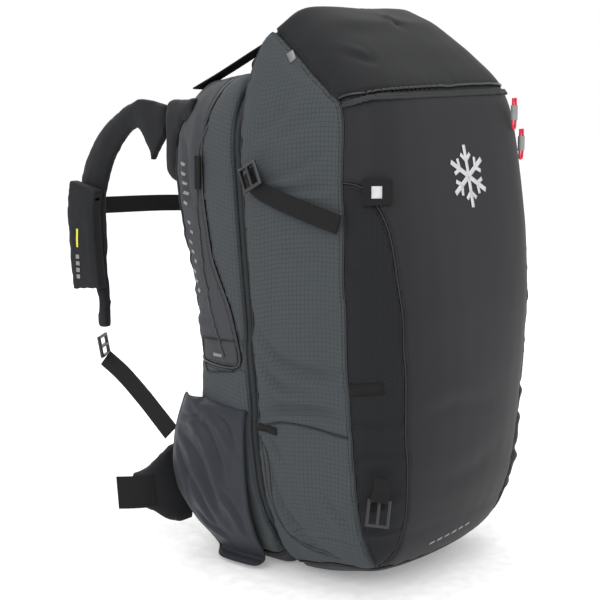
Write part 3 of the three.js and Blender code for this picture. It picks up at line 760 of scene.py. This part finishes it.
GUSSET_FOLDS = [
    ([(-160, 196), (-185, 190), (-205, 196)], 4, 1.8),
    ([(-160, 150), (-180, 160), (-205, 158)], 4, 1.6),
    ([(-158, 118), (-180, 112), (-200, 122)], 4, 1.8),
    ([(-160, 352), (-172, 340), (-190, 330)], 4, 1.2),
    ([(-158, 70), (-175, 84), (-195, 78)], 4, 1.5),
]
offset += relief(bag, ["gusset_left", "gusset_right"], 1.0, 2.2, 18.0, (1, 0.6, 1.6), 1.5, 5.7, GUSSET_FOLDS)
offset += relief(bag, ["front_panel"], 0.8, 0.5, 6.0, (1, 1, 0.7), 0.25, 9.4,
                 [([(-95, 196), (-40, 202), (30, 190)], 9, 0.9),
                  ([(-90, 130), (-30, 120), (40, 132)], 12, 0.7)],
                 (0, 2))
offset += relief(bag, ["lid"], 1.2, 0.9, 9.0, (0.7, 1.3, 1), 0.5, 2.2,
                 [([(-112, 560), (-95, 552), (-84, 556)], 4, 1.5),
                  ([(-105, 585), (-60, 580), (-10, 586)], 9, 0.8)],
                 (0, 2))
bag.move(offset)
print("compartment skin:", len(bag.points), "points")

# %% [markdown]
# ### Cutting the panels apart
# Each panel turns its edge in, as the seam allowance does, and a thin near-black cord lies in the groove as
# painted shade of the seam. The lid's cloth is given the pack and the lid as its two bodies, but it is
# attached to neither. The lid's front flap is the exception: it lies over the zip, so its edge stands
# proud.

# %% Compartment panels
flap = bag.of("lid") & (bag.points[:, 1] < -0.125)
lift = np.zeros(len(bag.points))
lift[flap] = 0.0022 * np.exp(-bag.seam_away[flap] / 0.012)
bag.move(lift)

for panel, material, body, slot in (
    ("lid", LID_CLOTH, ("pack", "lid", (0, -0.028, 0.6), (0, -0.062, 0.6)), "stretch_face"),
    ("front_panel", FRONT_CLOTH, "pack", "stretch_face"),
    ("gusset_left", GUSSET_CLOTH, "pack", "ripstop"),
    ("gusset_right", GUSSET_CLOTH, "pack", "ripstop"),
    ("side_panel_left", RIPSTOP, "pack", "ripstop"),
    ("side_panel_right", RIPSTOP, "pack", "ripstop"),
    ("bottom_panel", BASE_CLOTH, "pack", "lining"),
    ("divider_wall", LINING, "pack", "lining"),
):
    bag.cut_out(panel, f"{panel}_cloth", material, body, [panel], 0.0004 if panel == "lid" else 0.0018)

# A near-black cord in each seam groove of the compartment: painted shade of the seam.
seam_shade = []
for side in ("left", "right"):
    for other in (f"gusset_{side}", "front_panel"):
        seam_shade += bag.seam_line(f"side_panel_{side}", other, -0.0006)
    seam_shade += bag.seam_line(f"gusset_{side}", "front_panel", -0.0006)
    seam_shade += bag.seam_line(f"side_panel_{side}", "bottom_panel", -0.0006)
    seam_shade += bag.seam_line(f"side_panel_{side}", "divider_wall", -0.0006)
seam_shade += bag.seam_line("front_panel", "bottom_panel", -0.0006)
cordlet("compartment_seam_shade", seam_shade, 0.0009, SEAM_SHADE_AND_THREAD, "pack")
print("piping runs:", len(seam_shade))

# %% [markdown]
# ## The base unit
# The base unit is wrapped in the same way. Its two airbag covers meet the side panels at the burst zip,
# which the filling airbag tears open. The covers hold a rolled airbag, so they are the most wrinkled cloth
# on the pack.

# %% Base unit skin
BASE_PANELS = ["airbag_cover_left", "airbag_cover_right", "base_side_left", "base_side_right", "back_panel",
               "base_bottom", "base_front_wall"]
base = Skin(BASE_PANELS, (0, 0.01, 0.05), (0, 0.05, 0.44), 280, (22, 130, 40), 14)
COVER_FOLDS = [
    ([(95, 470), (78, 440), (74, 400)], 4, 2.4),
    ([(60, 500), (56, 470), (60, 440)], 5, 1.6),
    ([(84, 420), (70, 404), (50, 400)], 3.5, 1.4),
    ([(88, 372), (66, 366), (46, 372)], 3.5, 1.5),
    ([(82, 344), (60, 336), (36, 340)], 3.5, 1.5),
    ([(76, 312), (50, 306), (24, 312)], 3.5, 1.5),
    ([(70, 284), (44, 276), (16, 280)], 3.5, 1.4),
    ([(40, 262), (20, 256), (2, 258)], 3, 1.2),
]
offset = relief(base, ["airbag_cover_left", "airbag_cover_right"], 1.8, 3.0, 22.0, (1, 0.8, 1.3), 2.0, 1.3,
                COVER_FOLDS)
offset += relief(base, ["base_side_left", "base_side_right"], 0.8, 1.6, 16.0, (1, 1, 1), 1.4, 4.4)
offset += relief(base, ["back_panel"], 2.4, 0.5, 12.0, (1, 1, 1), 0.5, 8.8,
                 [([(-60, y), (0, y - 6), (60, y)], 5, 3.0) for y in (140, 210, 280, 350, 420)], (0, 2))
base.move(offset)
for panel, material, slot in (
    ("airbag_cover_left", COVER_CLOTH, "ripstop"),
    ("airbag_cover_right", COVER_CLOTH, "ripstop"),
    ("base_side_left", RIPSTOP, "ripstop"),
    ("base_side_right", RIPSTOP, "ripstop"),
    ("back_panel", MESH_CLOTH, "foam"),
    ("base_bottom", BASE_CLOTH, "lining"),
    ("base_front_wall", LINING, "lining"),
):
    base.cut_out(panel, f"{panel}_cloth", material, "pack", [panel])

# A near-black cord in each seam groove of the base unit: painted shade of the seam.
seams = []
for side in ("left", "right"):
    seams += base.seam_line(f"airbag_cover_{side}", "back_panel", -0.0004)
    seams += base.seam_line(f"base_side_{side}", "back_panel", -0.0004)
    seams += base.seam_line(f"base_side_{side}", "base_bottom", -0.0004)
seams += base.seam_line("airbag_cover_left", "airbag_cover_right", -0.0004)
cordlet("base_unit_seam_shade", seams, 0.0012, SEAM_SHADE_AND_THREAD, "pack")
burst = []
for side in ("left", "right"):
    burst += base.seam_line(f"airbag_cover_{side}", f"base_side_{side}", 0.0004)
cordlet("burst_zip_coil", burst, 0.0016, COIL, "pack")
print("base unit skin:", len(base.points), "points")

# %% [markdown]
# ## Soft pads
# The shoulder straps, the hip wings, the lumbar pad and the trigger pouch are foam in a sewn sleeve. Their
# CAD solids have the right size but hard edges. Each copy is remeshed evenly and blown up a little by a
# cloth simulation with its own pressure, so that the faces crown and the edges draw in, as sewn foam does.
# How far a point may move is capped, because a pad has to stay in the space that the CAD keeps for it.


# %% Pads by cloth simulation
def pad_copy(name, node, voxel, shrink, rounding=4):
    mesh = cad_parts[node].data.copy()
    work = bmesh.new()
    work.from_mesh(mesh)
    bmesh.ops.remove_doubles(work, verts=work.verts, dist=1e-5)
    work.to_mesh(mesh)
    work.free()
    thing = bpy.data.objects.new(name, mesh)
    scene.collection.objects.link(thing)
    remesh = thing.modifiers.new("remesh", "REMESH")
    remesh.mode = "VOXEL"
    remesh.voxel_size = voxel
    smooth = thing.modifiers.new("smooth", "SMOOTH")
    smooth.factor = 0.6
    smooth.iterations = rounding
    pull_in = thing.modifiers.new("pull_in", "DISPLACE")
    pull_in.strength = -shrink
    pull_in.mid_level = 0.0
    apply_modifiers(thing)
    return thing


def apply_modifiers(thing):
    graph = bpy.context.evaluated_depsgraph_get()
    finished = bpy.data.meshes.new_from_object(thing.evaluated_get(graph))
    thing.modifiers.clear()
    thing.data = finished


def inflate_all(pads, frames=16):
    """Runs every pad's cloth at once, then keeps the capped movement in its mesh."""
    before = {}
    for thing, pressure, cap in pads:
        points = np.empty(len(thing.data.vertices) * 3)
        thing.data.vertices.foreach_get("co", points)
        before[thing.name] = points.reshape(-1, 3)
        cloth_settings = thing.modifiers.new("Cloth", "CLOTH").settings
        cloth_settings.use_pressure = True
        cloth_settings.uniform_pressure_force = pressure
        cloth_settings.effector_weights.gravity = 0
        cloth_settings.tension_stiffness = 25
        cloth_settings.compression_stiffness = 25
        cloth_settings.quality = 4
    for step in range(1, frames + 1):
        scene.frame_set(step)
    graph = bpy.context.evaluated_depsgraph_get()
    for thing, pressure, cap in pads:
        swollen = thing.evaluated_get(graph).to_mesh()
        points = np.empty(len(swollen.vertices) * 3)
        swollen.vertices.foreach_get("co", points)
        move = points.reshape(-1, 3) - before[thing.name]
        length = np.linalg.norm(move, axis=1)[:, None] + 1e-9
        move *= np.minimum(1, cap / length)
        thing.evaluated_get(graph).to_mesh_clear()
        thing.modifiers.clear()
        thing.data.vertices.foreach_set("co", (before[thing.name] + move).ravel())
        thing.data.update()
    scene.frame_set(1)


PADS = [
    ("strap_pad_left", "shoulder_strap_left", 0.0038, PAD_CLOTH, "strap_left", "ripstop", 0.0016, 0.0045),
    ("strap_pad_right", "shoulder_strap_right", 0.0038, PAD_CLOTH, "strap_right", "ripstop", 0.0016, 0.0045),
    ("yoke_pad_left", "strap_yoke_left", 0.0032, PAD_CLOTH, "pack", "ripstop", 0.0, 0.0015),
    ("yoke_pad_right", "strap_yoke_right", 0.0032, PAD_CLOTH, "pack", "ripstop", 0.0, 0.0015),
    ("trigger_pouch_sleeve", "trigger_pouch", 0.0016, PAD_CLOTH, "strap_left", "ripstop", 0.0, 0.0018),
    ("hip_wing_pad_left", "hip_wing_left", 0.004, PAD_CLOTH, "wing_left", "ripstop", 0.001, 0.004),
    ("hip_wing_pad_right", "hip_wing_right", 0.004, PAD_CLOTH, "wing_right", "ripstop", 0.001, 0.004),
    ("lumbar_cushion", "lumbar_pad", 0.005, MESH_CLOTH, "pack", "foam", 0.001, 0.004),
]
made = []
for name, node, voxel, material, body, slot, shrink, cap in PADS:
    made.append((pad_copy(name, node, voxel, shrink, 24 if "yoke" in name else 4), 3.0, cap))
inflate_all(made)
for (thing, _, _), (name, node, voxel, material, body, slot, shrink, cap) in zip(made, PADS):
    thing.data.shade_smooth()
    points = np.array([v.co for v in thing.data.vertices])
    normals = np.empty(len(points) * 3)
    thing.data.vertex_normals.foreach_get("vector", normals)
    wrinkle = 0.0006 * crumple(points, 42.0, (1, 1, 1.4), 6.0)
    thing.data.vertices.foreach_set("co", (points + normals.reshape(-1, 3) * wrinkle[:, None]).ravel())
    finer = thing.modifiers.new("finer", "SUBSURF")
    finer.levels = finer.render_levels = 1
    apply_modifiers(thing)
    mesh = thing.data
    bpy.data.objects.remove(thing)
    if name.startswith("strap_pad"):
        sign = -1 if name.endswith("left") else 1
        body = ("pack", body, (sign * 0.1, 0.138, 0.47), (sign * 0.1, 0.175, 0.485))
    soft = dress(mesh, name, material, body, [node])
    print(name, len(mesh.vertices), "points")

# %% [markdown]
# ## Thin cloth that hangs
# The rolled airbag, its duct and the zip's tape are thin cloth. They could be simulated too, but they are
# not stuffed, so evenly remeshed copies creased by noise give the same look in less time.

# %% Airbag, duct and zip tape
for name, node, voxel, material, body, slot, crease, scale in (
    ("airbag_roll", "airbag", 0.005, AIRBAG_CLOTH, "pack", "airbag_cloth", 1.5, 20),
    ("air_duct_sleeve", "air_duct", 0.004, PAD_CLOTH, "pack", "ripstop", 0.8, 30),
    ("main_zip_tape", "main_zipper", 0.0016, TAPE, "pack", "zip_tape", 0.2, 40),
):
    thing = pad_copy(name, node, voxel, 0.0)
    mesh = thing.data
    bpy.data.objects.remove(thing)
    points = np.array([v.co for v in mesh.vertices])
    normals = np.empty(len(points) * 3)
    mesh.vertex_normals.foreach_get("vector", normals)
    normals = normals.reshape(-1, 3)
    rise = crease * MM * crumple(points, scale, (1, 1.5, 0.7), 3.3)
    mesh.vertices.foreach_set("co", (points + normals * rise[:, None]).ravel())
    soft = dress(mesh, name, material, body, [node])
    print(name, len(points), "points")

# %% [markdown]
# ### The stretch pockets
# A stretch pocket is one thin sheet over the side of the base unit. It is felt from straight beside the
# pack on an even grid, smoothed, creased from its corners, and finished with a cord in the elastic hem.


# %% Pocket sheets
POCKET_FOLDS = [
    ([(50, 176), (20, 150), (2, 100)], 5, 2.6),
    ([(66, 150), (40, 128), (14, 60)], 5, 2.4),
    ([(24, 182), (0, 168), (-16, 140)], 4, 2.2),
    ([(70, 110), (46, 96), (24, 40)], 5, 2.0),
    ([(74, 140), (58, 100), (62, 60)], 4, 2.0),
    ([(56, 60), (36, 44), (10, 34)], 4, 1.8),
    ([(10, 96), (-8, 70), (-16, 40)], 4, 1.8),
    ([(78, 168), (50, 168), (26, 176)], 3, 1.6),
]


def side_sheet(name, node, side, material, lines, cell=0.002):
    sign = -1 if side == "left" else 1
    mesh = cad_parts[node].data
    corners = np.array([v.co for v in mesh.vertices])
    tree = BVHTree.FromPolygons(corners.tolist(), [list(p.vertices) for p in mesh.polygons])
    low, high = corners.min(0) + 0.0005, corners.max(0) - 0.0005
    ys, zs = np.arange(low[1], high[1], cell), np.arange(max(low[2], 0.006), high[2], cell)
    height = np.full((len(ys), len(zs)), np.nan)
    for i, y in enumerate(ys):
        for j, z in enumerate(zs):
            spot = tree.ray_cast(Vector((sign * 0.6, y, z)), Vector((-sign, 0, 0)))[0]
            if spot is not None and abs(spot.x) > 0.104:
                height[i, j] = spot.x
    here = ~np.isnan(height)
    value = np.where(here, height, 0.0)
    for _ in range(14):
        weight = neighbours(here.astype(float)).sum(0)
        around = neighbours(value * here).sum(0)
        value = np.where(here, 0.5 * value + 0.5 * around / np.maximum(weight, 1), 0.0)
    index = -np.ones(here.shape, int)
    whole = here[:-1, :-1] & here[1:, :-1] & here[1:, 1:] & here[:-1, 1:]
    cells = [[(i, j), (i + 1, j), (i + 1, j + 1), (i, j + 1)] for i, j in np.argwhere(whole)]
    points, faces = [], []
    for corner_set in cells:
        face = []
        for i, j in corner_set:
            if index[i, j] < 0:
                index[i, j] = len(points)
                points.append((value[i, j], ys[i], zs[j]))
            face.append(index[i, j])
        faces.append(face if sign < 0 else face[::-1])
    points = np.array(points)
    counts = {}
    for face in faces:
        for a, b in zip(face, face[1:] + face[:1]):
            counts[(min(a, b), max(a, b))] = counts.get((min(a, b), max(a, b)), 0) + 1
    rim = np.array([e for e, c in counts.items() if c == 1])
    on_rim = np.unique(rim)
    for _ in range(24):
        total, count = np.zeros_like(points), np.zeros(len(points))
        for a, b in (rim.T, rim.T[::-1]):
            np.add.at(total, a, points[b])
            np.add.at(count, a, 1)
        points[on_rim] = 0.5 * points[on_rim] + 0.5 * total[on_rim] / count[on_rim][:, None]
    tree = KDTree(len(on_rim))
    for i, corner in enumerate(on_rim):
        tree.insert(points[corner], i)
    tree.balance()
    away = np.array([tree.find(p)[2] for p in points])
    inward = 1 - np.exp(-away / 0.010)
    rise = (1.4 * MM * crumple(points, 15, (1, 1.5, 0.7), 3.3) + folds(points, lines)) * inward
    points[:, 0] += sign * (rise + 0.0008)
    links = {}
    for a, b in rim:
        links.setdefault(a, []).append(b)
        links.setdefault(b, []).append(a)
    chain, begin = [on_rim[0]], on_rim[0]
    while True:
        following = [n for n in links[chain[-1]] if n not in chain[-3:] and (n != begin or len(chain) > 20)]
        if not following or following[0] == begin:
            break
        chain.append(following[0])
        if len(chain) > len(on_rim) + 4:
            break
    cordlet(f"{name}_hem", [points[chain + [begin]]], 0.0013, BINDING, "pack")
    return piece(name, points, faces, material, "pack", [node], points[:, [1, 2]], away, 0.0012)


for side in ("left", "right"):
    sheet = side_sheet(f"pocket_sheet_{side}", f"stretch_pocket_{side}", side, POCKET_CLOTH,
                       POCKET_FOLDS)
    print(sheet.name, len(sheet.data.vertices), "points")

# %% [markdown]
# ## Webbing
# Webbing runs where the CAD put it, now with rounded lips and a rib weave. Each run starts inside its sewn
# end and ends at its buckle.


# %% Webbing runs
def metres(path):
    return [(x * MM, y * MM, z * MM) for x, y, z in path]


COMPRESSION = [(-157, -36, 440), (-158, -50, 424), (-157, -84, 412), (-154.5, -120, 402), (-151, -150, 394)]
LOWER_WEB = [(-101, 246, 197), (-107, 210, 184), (-115, 168, 164), (-123, 134, 147), (-128, 110, 134)]
LIFTER = [(-70, -19, 582), (-77, 20, 561), (-84, 62, 538), (-89, 98, 520)]
HIP_WEB = [(-156, 108, 73), (-166, 115, 72), (-176, 127, 71), (-184, 140, 70)]
HAUL = [(-32, 62, 534), (-30, 62, 549), (0, 62, 560), (30, 62, 549), (32, 62, 534)]
for side, flip in (("left", list), ("right", mirrored)):
    for name, path, width, across, body in (
        (f"compression_strap_{side}", COMPRESSION, 20, (0, 0.3, 1), "pack"),
        (f"lower_webbing_{side}", LOWER_WEB, 20, (0.5 if side == "left" else -0.5, 0, 0.86), f"strap_{side}"),
        (f"load_lifter_{side}", LIFTER, 20, (1, 0, 0), "pack"),
        (f"hip_webbing_{side}", HIP_WEB, 38, (0, 0, 1), f"wing_{side}"),
    ):
        if name == "lower_webbing_right":
            path = [(x, 141 + (y - 141) * 0.8, z) for x, y, z in path]
        strap(f"{name}_woven", metres(flip(path)), width * MM, 0.0018, across, body,
              replaces=[name])
STERNUM = [(-83, 262, 379), (0, 258, 375), (57, 252, 371)]
strap("sternum_webbing_woven", metres(STERNUM), 0.02, 0.0018, (0, 0, 1), "strap_left",
      replaces=["sternum_webbing"])
strap("haul_loop_woven", metres(HAUL), [0.008, 0.02, 0.02, 0.02, 0.008], 0.0022, (0, 1, 0),
      "haul_loop", replaces=["haul_loop"])
strap("hook_buckle_web", metres([(-142, -196, 118), (-141.5, -199, 130), (-139, -199, 142)]), 0.018, 0.0016,
      (0.6, -0.75, 0), "pack")
print("webbing runs done")

# %% [markdown]
# ## Hard parts
# Buckles, frame stays and the fan unit are hard, so their CAD meshes stay as they are. A bevel takes the
# knife edges off, because moulded and cut parts always have a small radius that catches a line of light.

# %% Hard parts
for material, names in (
    (PLASTIC, ("compression_lock_left", "compression_lock_right", "hook_buckle", "ladder_lock_left",
               "ladder_lock_right", "sternum_tongue", "sternum_catch")),
    (UNIT_PLASTIC, ("frame_sheet", "fan_housing", "intake_grille", "fan_rotor", "battery_pack",
                    "control_module")),
    (ALLOY, ("frame_stay_left", "frame_stay_right", "fan_motor")),
    (RED, ("trigger_handle",)),
    (WEBBING, ("label_loop", "burst_zip_pull")),
):
    for name in names:
        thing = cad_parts[name]
        if material is WEBBING:
            weave_map(thing.data)
        thing.data.materials.clear()
        thing.data.materials.append(material)
        edge = thing.modifiers.new("edge", "BEVEL")
        edge.width = 0.0006
        edge.segments = 3
        edge.limit_method = "ANGLE"
print("hard parts finished")

# %% [markdown]
# ## Things that lie on the cloth
# Prints, bindings, stitch lines and small tabs follow the cloth under them. Each is drawn flat in
# millimetres and then dropped onto the skin along a ray, so that it bends over every fold.


# %% Drawing on the skin
def skin_tree(skin):
    return BVHTree.FromPolygons([tuple(p) for p in skin.points], skin.faces.tolist())


BAG_TREE, BASE_TREE = skin_tree(bag), skin_tree(base)
VIEWS = {
    "left": lambda a, b: (Vector((-0.6, a * MM, b * MM)), Vector((1, 0, 0))),
    "right": lambda a, b: (Vector((0.6, a * MM, b * MM)), Vector((-1, 0, 0))),
    "front": lambda a, b: (Vector((a * MM, -0.6, b * MM)), Vector((0, 1, 0))),
    "back": lambda a, b: (Vector((a * MM, 0.6, b * MM)), Vector((0, -1, 0))),
}


def drop(tree, view, a, b, lift):
    start, way = VIEWS[view](a, b)
    spot, normal, _, _ = tree.ray_cast(start, way)
    if spot is None:
        return None
    return np.array(spot) - np.array(way) * lift * MM


def dropped(tree, view, line, lift, count=40):
    """A line in mm, dropped onto the skin, as points in metres."""
    flat = smooth_path([(*p, 0) for p in line], count)
    hits = [drop(tree, view, a, b, lift) for a, b, _ in flat]
    return np.array([h for h in hits if h is not None])


def printed(name, tree, view, strips, material, body, lift=0.35, thick=0.0002):
    """Strips are (start, end, start width, end width) in mm; each becomes small quads on the skin."""
    points, faces, weave = [], [], []
    for (a0, b0), (a1, b1), w0, w1 in strips:
        length = math.hypot(a1 - a0, b1 - b0)
        count = max(3, int(length / 3) + 2)
        side = np.array([-(b1 - b0), a1 - a0]) / length
        start = len(points)
        for i in range(count):
            t = i / (count - 1)
            middle = np.array([a0 + (a1 - a0) * t, b0 + (b1 - b0) * t])
            for s in (-0.5, 0, 0.5):
                a, b = middle + side * s * (w0 + (w1 - w0) * t)
                hit = drop(tree, view, a, b, lift)
                points.append(hit if hit is not None else points[-1])
                weave.append((a * MM, b * MM))
        for i in range(count - 1):
            for k in range(2):
                c = start + i * 3 + k
                faces.append((c, c + 1, c + 4, c + 3))
    return piece(name, points, faces, material, body, weave=weave, thick=thick)


def crystal(a, b, size, width):
    """A plain six-armed snow crystal: three long bars and a short fork on every arm."""
    strips = []
    for k in range(6):
        turn = math.radians(60 * k + 30)
        out = np.array([math.cos(turn), math.sin(turn)])
        tip = np.array([a, b]) + out * size
        strips.append(((a, b), tuple(tip), width, width))
        fork = np.array([a, b]) + out * size * 0.5
        for bend in (-1, 1):
            lean = turn + bend * math.radians(52)
            end = fork + np.array([math.cos(lean), math.sin(lean)]) * size * 0.34
            strips.append((tuple(fork), tuple(end), width * 0.8, width * 0.8))
    return strips


printed("front_emblem", BAG_TREE, "front", crystal(4, 434, 32, 5.2), REFLECTIVE, "pack", 0.5)
printed("front_low_print", BAG_TREE, "front",
        [((-42 + 12 * k, 46 + 1.2 * k), (-34 + 12 * k, 47 + 1.2 * k), 3, 3) for k in range(6)],
        GREY_SLEEVE, "pack", 0.4)
printed("cover_print", BASE_TREE, "left",
        [((85 - 2.3 * k - 3.5, 439 - 10.4 * k), (85 - 2.3 * k + 3.5, 441 - 10.4 * k), 3.4, 3.4)
         for k in range(14) if k != 5],
        GREY_SLEEVE, "pack", 0.5)
printed("lid_tab", BAG_TREE, "left", [((-71, 552), (-64, 561), 7, 7)], SILVER_TAB, "lid",
        0.8, 0.0006)
pouch_mesh = bpy.data.objects["trigger_pouch_sleeve"].data
POUCH_TREE = BVHTree.FromPolygons([tuple(v.co) for v in pouch_mesh.vertices],
                                  [list(p.vertices) for p in pouch_mesh.polygons])
printed("pouch_print", POUCH_TREE, "left", [((277, 292 + 8 * k), (277, 297 + 8 * k), 6, 6) for k in range(4)],
        GREY_SLEEVE, "strap_left", 0.4)
printed("pouch_yellow", POUCH_TREE, "left", [((277, 330), (277, 352), 3.2, 3.2)], YELLOW, "strap_left",
        0.4)
label_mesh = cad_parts["label_loop"].data
LABEL_TREE = BVHTree.FromPolygons([tuple(v.co) for v in label_mesh.vertices],
                                  [list(p.vertices) for p in label_mesh.polygons])
printed("label_mark", LABEL_TREE, "left", [((-185, 421), (-185, 433), 7, 7)], REFLECTIVE, "pack",
        0.7)
print("prints done")

# %% [markdown]
# ### Stitched seams, bindings and small loops
# Two rows of thread close the stuff pocket low on the side. A bound edge hides the raw cut of a layer in a
# narrow dark tape. They are modelled as thin cords lying in the cloth.

# %% Stitches, bindings and tabs
REAR_SEAM = [(-41, 167), (-48, 147), (-56, 94), (-65, 62), (-96, 50), (-127, 44)]
STUFF_EDGE = [(-42, 172), (-90, 184), (-158, 178)]
COVER_EDGE = [(118, 470), (108, 437), (92, 400), (78, 334), (64, 284)]
COVER_ZIP = [(41, 482), (54, 456), (52, 400), (41, 338), (24, 280), (6, 240)]
FLAP_EDGE = [(47, 255), (-12, 259), (-14, 236), (-5, 225), (37, 218), (47, 230), (47, 255)]
for side in ("left", "right"):
    rows = [dropped(BAG_TREE, side, [(a + k, b + k) for a, b in REAR_SEAM], 0.1, 70) for k in (0, -5)]
    cordlet(f"stuff_pocket_seam_{side}", rows, 0.0007, SEAM_SHADE_AND_THREAD, "pack")
    for name, tree, line, lift, count, radius, material, slot in (
        ("stuff_pocket_edge", BAG_TREE, STUFF_EDGE, 0.2, 60, 0.0013, BINDING, "ripstop"),
        ("cover_edge", BASE_TREE, COVER_EDGE, 0.2, 70, 0.0016, BINDING, "ripstop"),
        ("cover_zip", BASE_TREE, COVER_ZIP, 0.3, 90, 0.0013, COIL, "zip_tape"),
    ):
        cordlet(f"{name}_{side}", [dropped(tree, side, line, lift, count)], radius, material, "pack")
    runs = [dropped(BASE_TREE, side, [p, q], 0.4, 12) for p, q in zip(FLAP_EDGE, FLAP_EDGE[1:])]
    cordlet(f"cover_flap_stitch_{side}", [np.vstack(runs)], 0.0009, BINDING, "pack")
    printed(f"flap_tag_{side}", BASE_TREE, side, [((10, 240), (24, 240), 4, 4)], SILVER_TAB, "pack",
            0.6)
    for name, strips, lift in (
        ("hem_loop", [((-44, 172), (-70, 171), 8, 8)], 1.6),
        ("edge_tab", [((-160, 228), (-192, 232), 12, 12)], 1.2),
    ):
        printed(f"{name}_{side}", BAG_TREE, side, strips, WEBBING, "pack", lift, 0.0012)
coil = []
for other in ("front_panel", "gusset_left", "gusset_right"):
    coil += bag.seam_line("lid", other, 0.0004)
cordlet("main_zip_coil", coil, 0.0013, COIL, "pack")
print("stitches done")

# %% [markdown]
# ## Zip pulls
# A glove can't grip a metal slider, so each slider carries a loop of cord in a plastic sleeve.

# %% Zip pulls
for name, body, x, y, top, low in (
    ("zip_pull_front", "pull_front", 110, -186, 511, 477),
    ("zip_pull_side", "pull_side", 141, -177, 476, 442),
):
    loop = [(x - 2.5, y, top), (x - 3.2, y, (top + low) / 2), (x - 2.5, y, low + 3), (x, y, low + 1),
            (x + 2.5, y, low + 3), (x + 3.2, y, (top + low) / 2), (x + 2.5, y, top)]
    cord = cordlet(f"{name}_cord", [smooth_path(metres(loop), 60)], 0.0014, RED, body)
    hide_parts(name)
    sleeve = [(x, y, top - 8), (x, y, top - 16), (x, y, low + 10)]
    strap(f"{name}_sleeve", metres(sleeve), 0.0092, 0.0042, (1, 0, 0), body, GREY_SLEEVE,
          count=20)
print("zip pulls done")
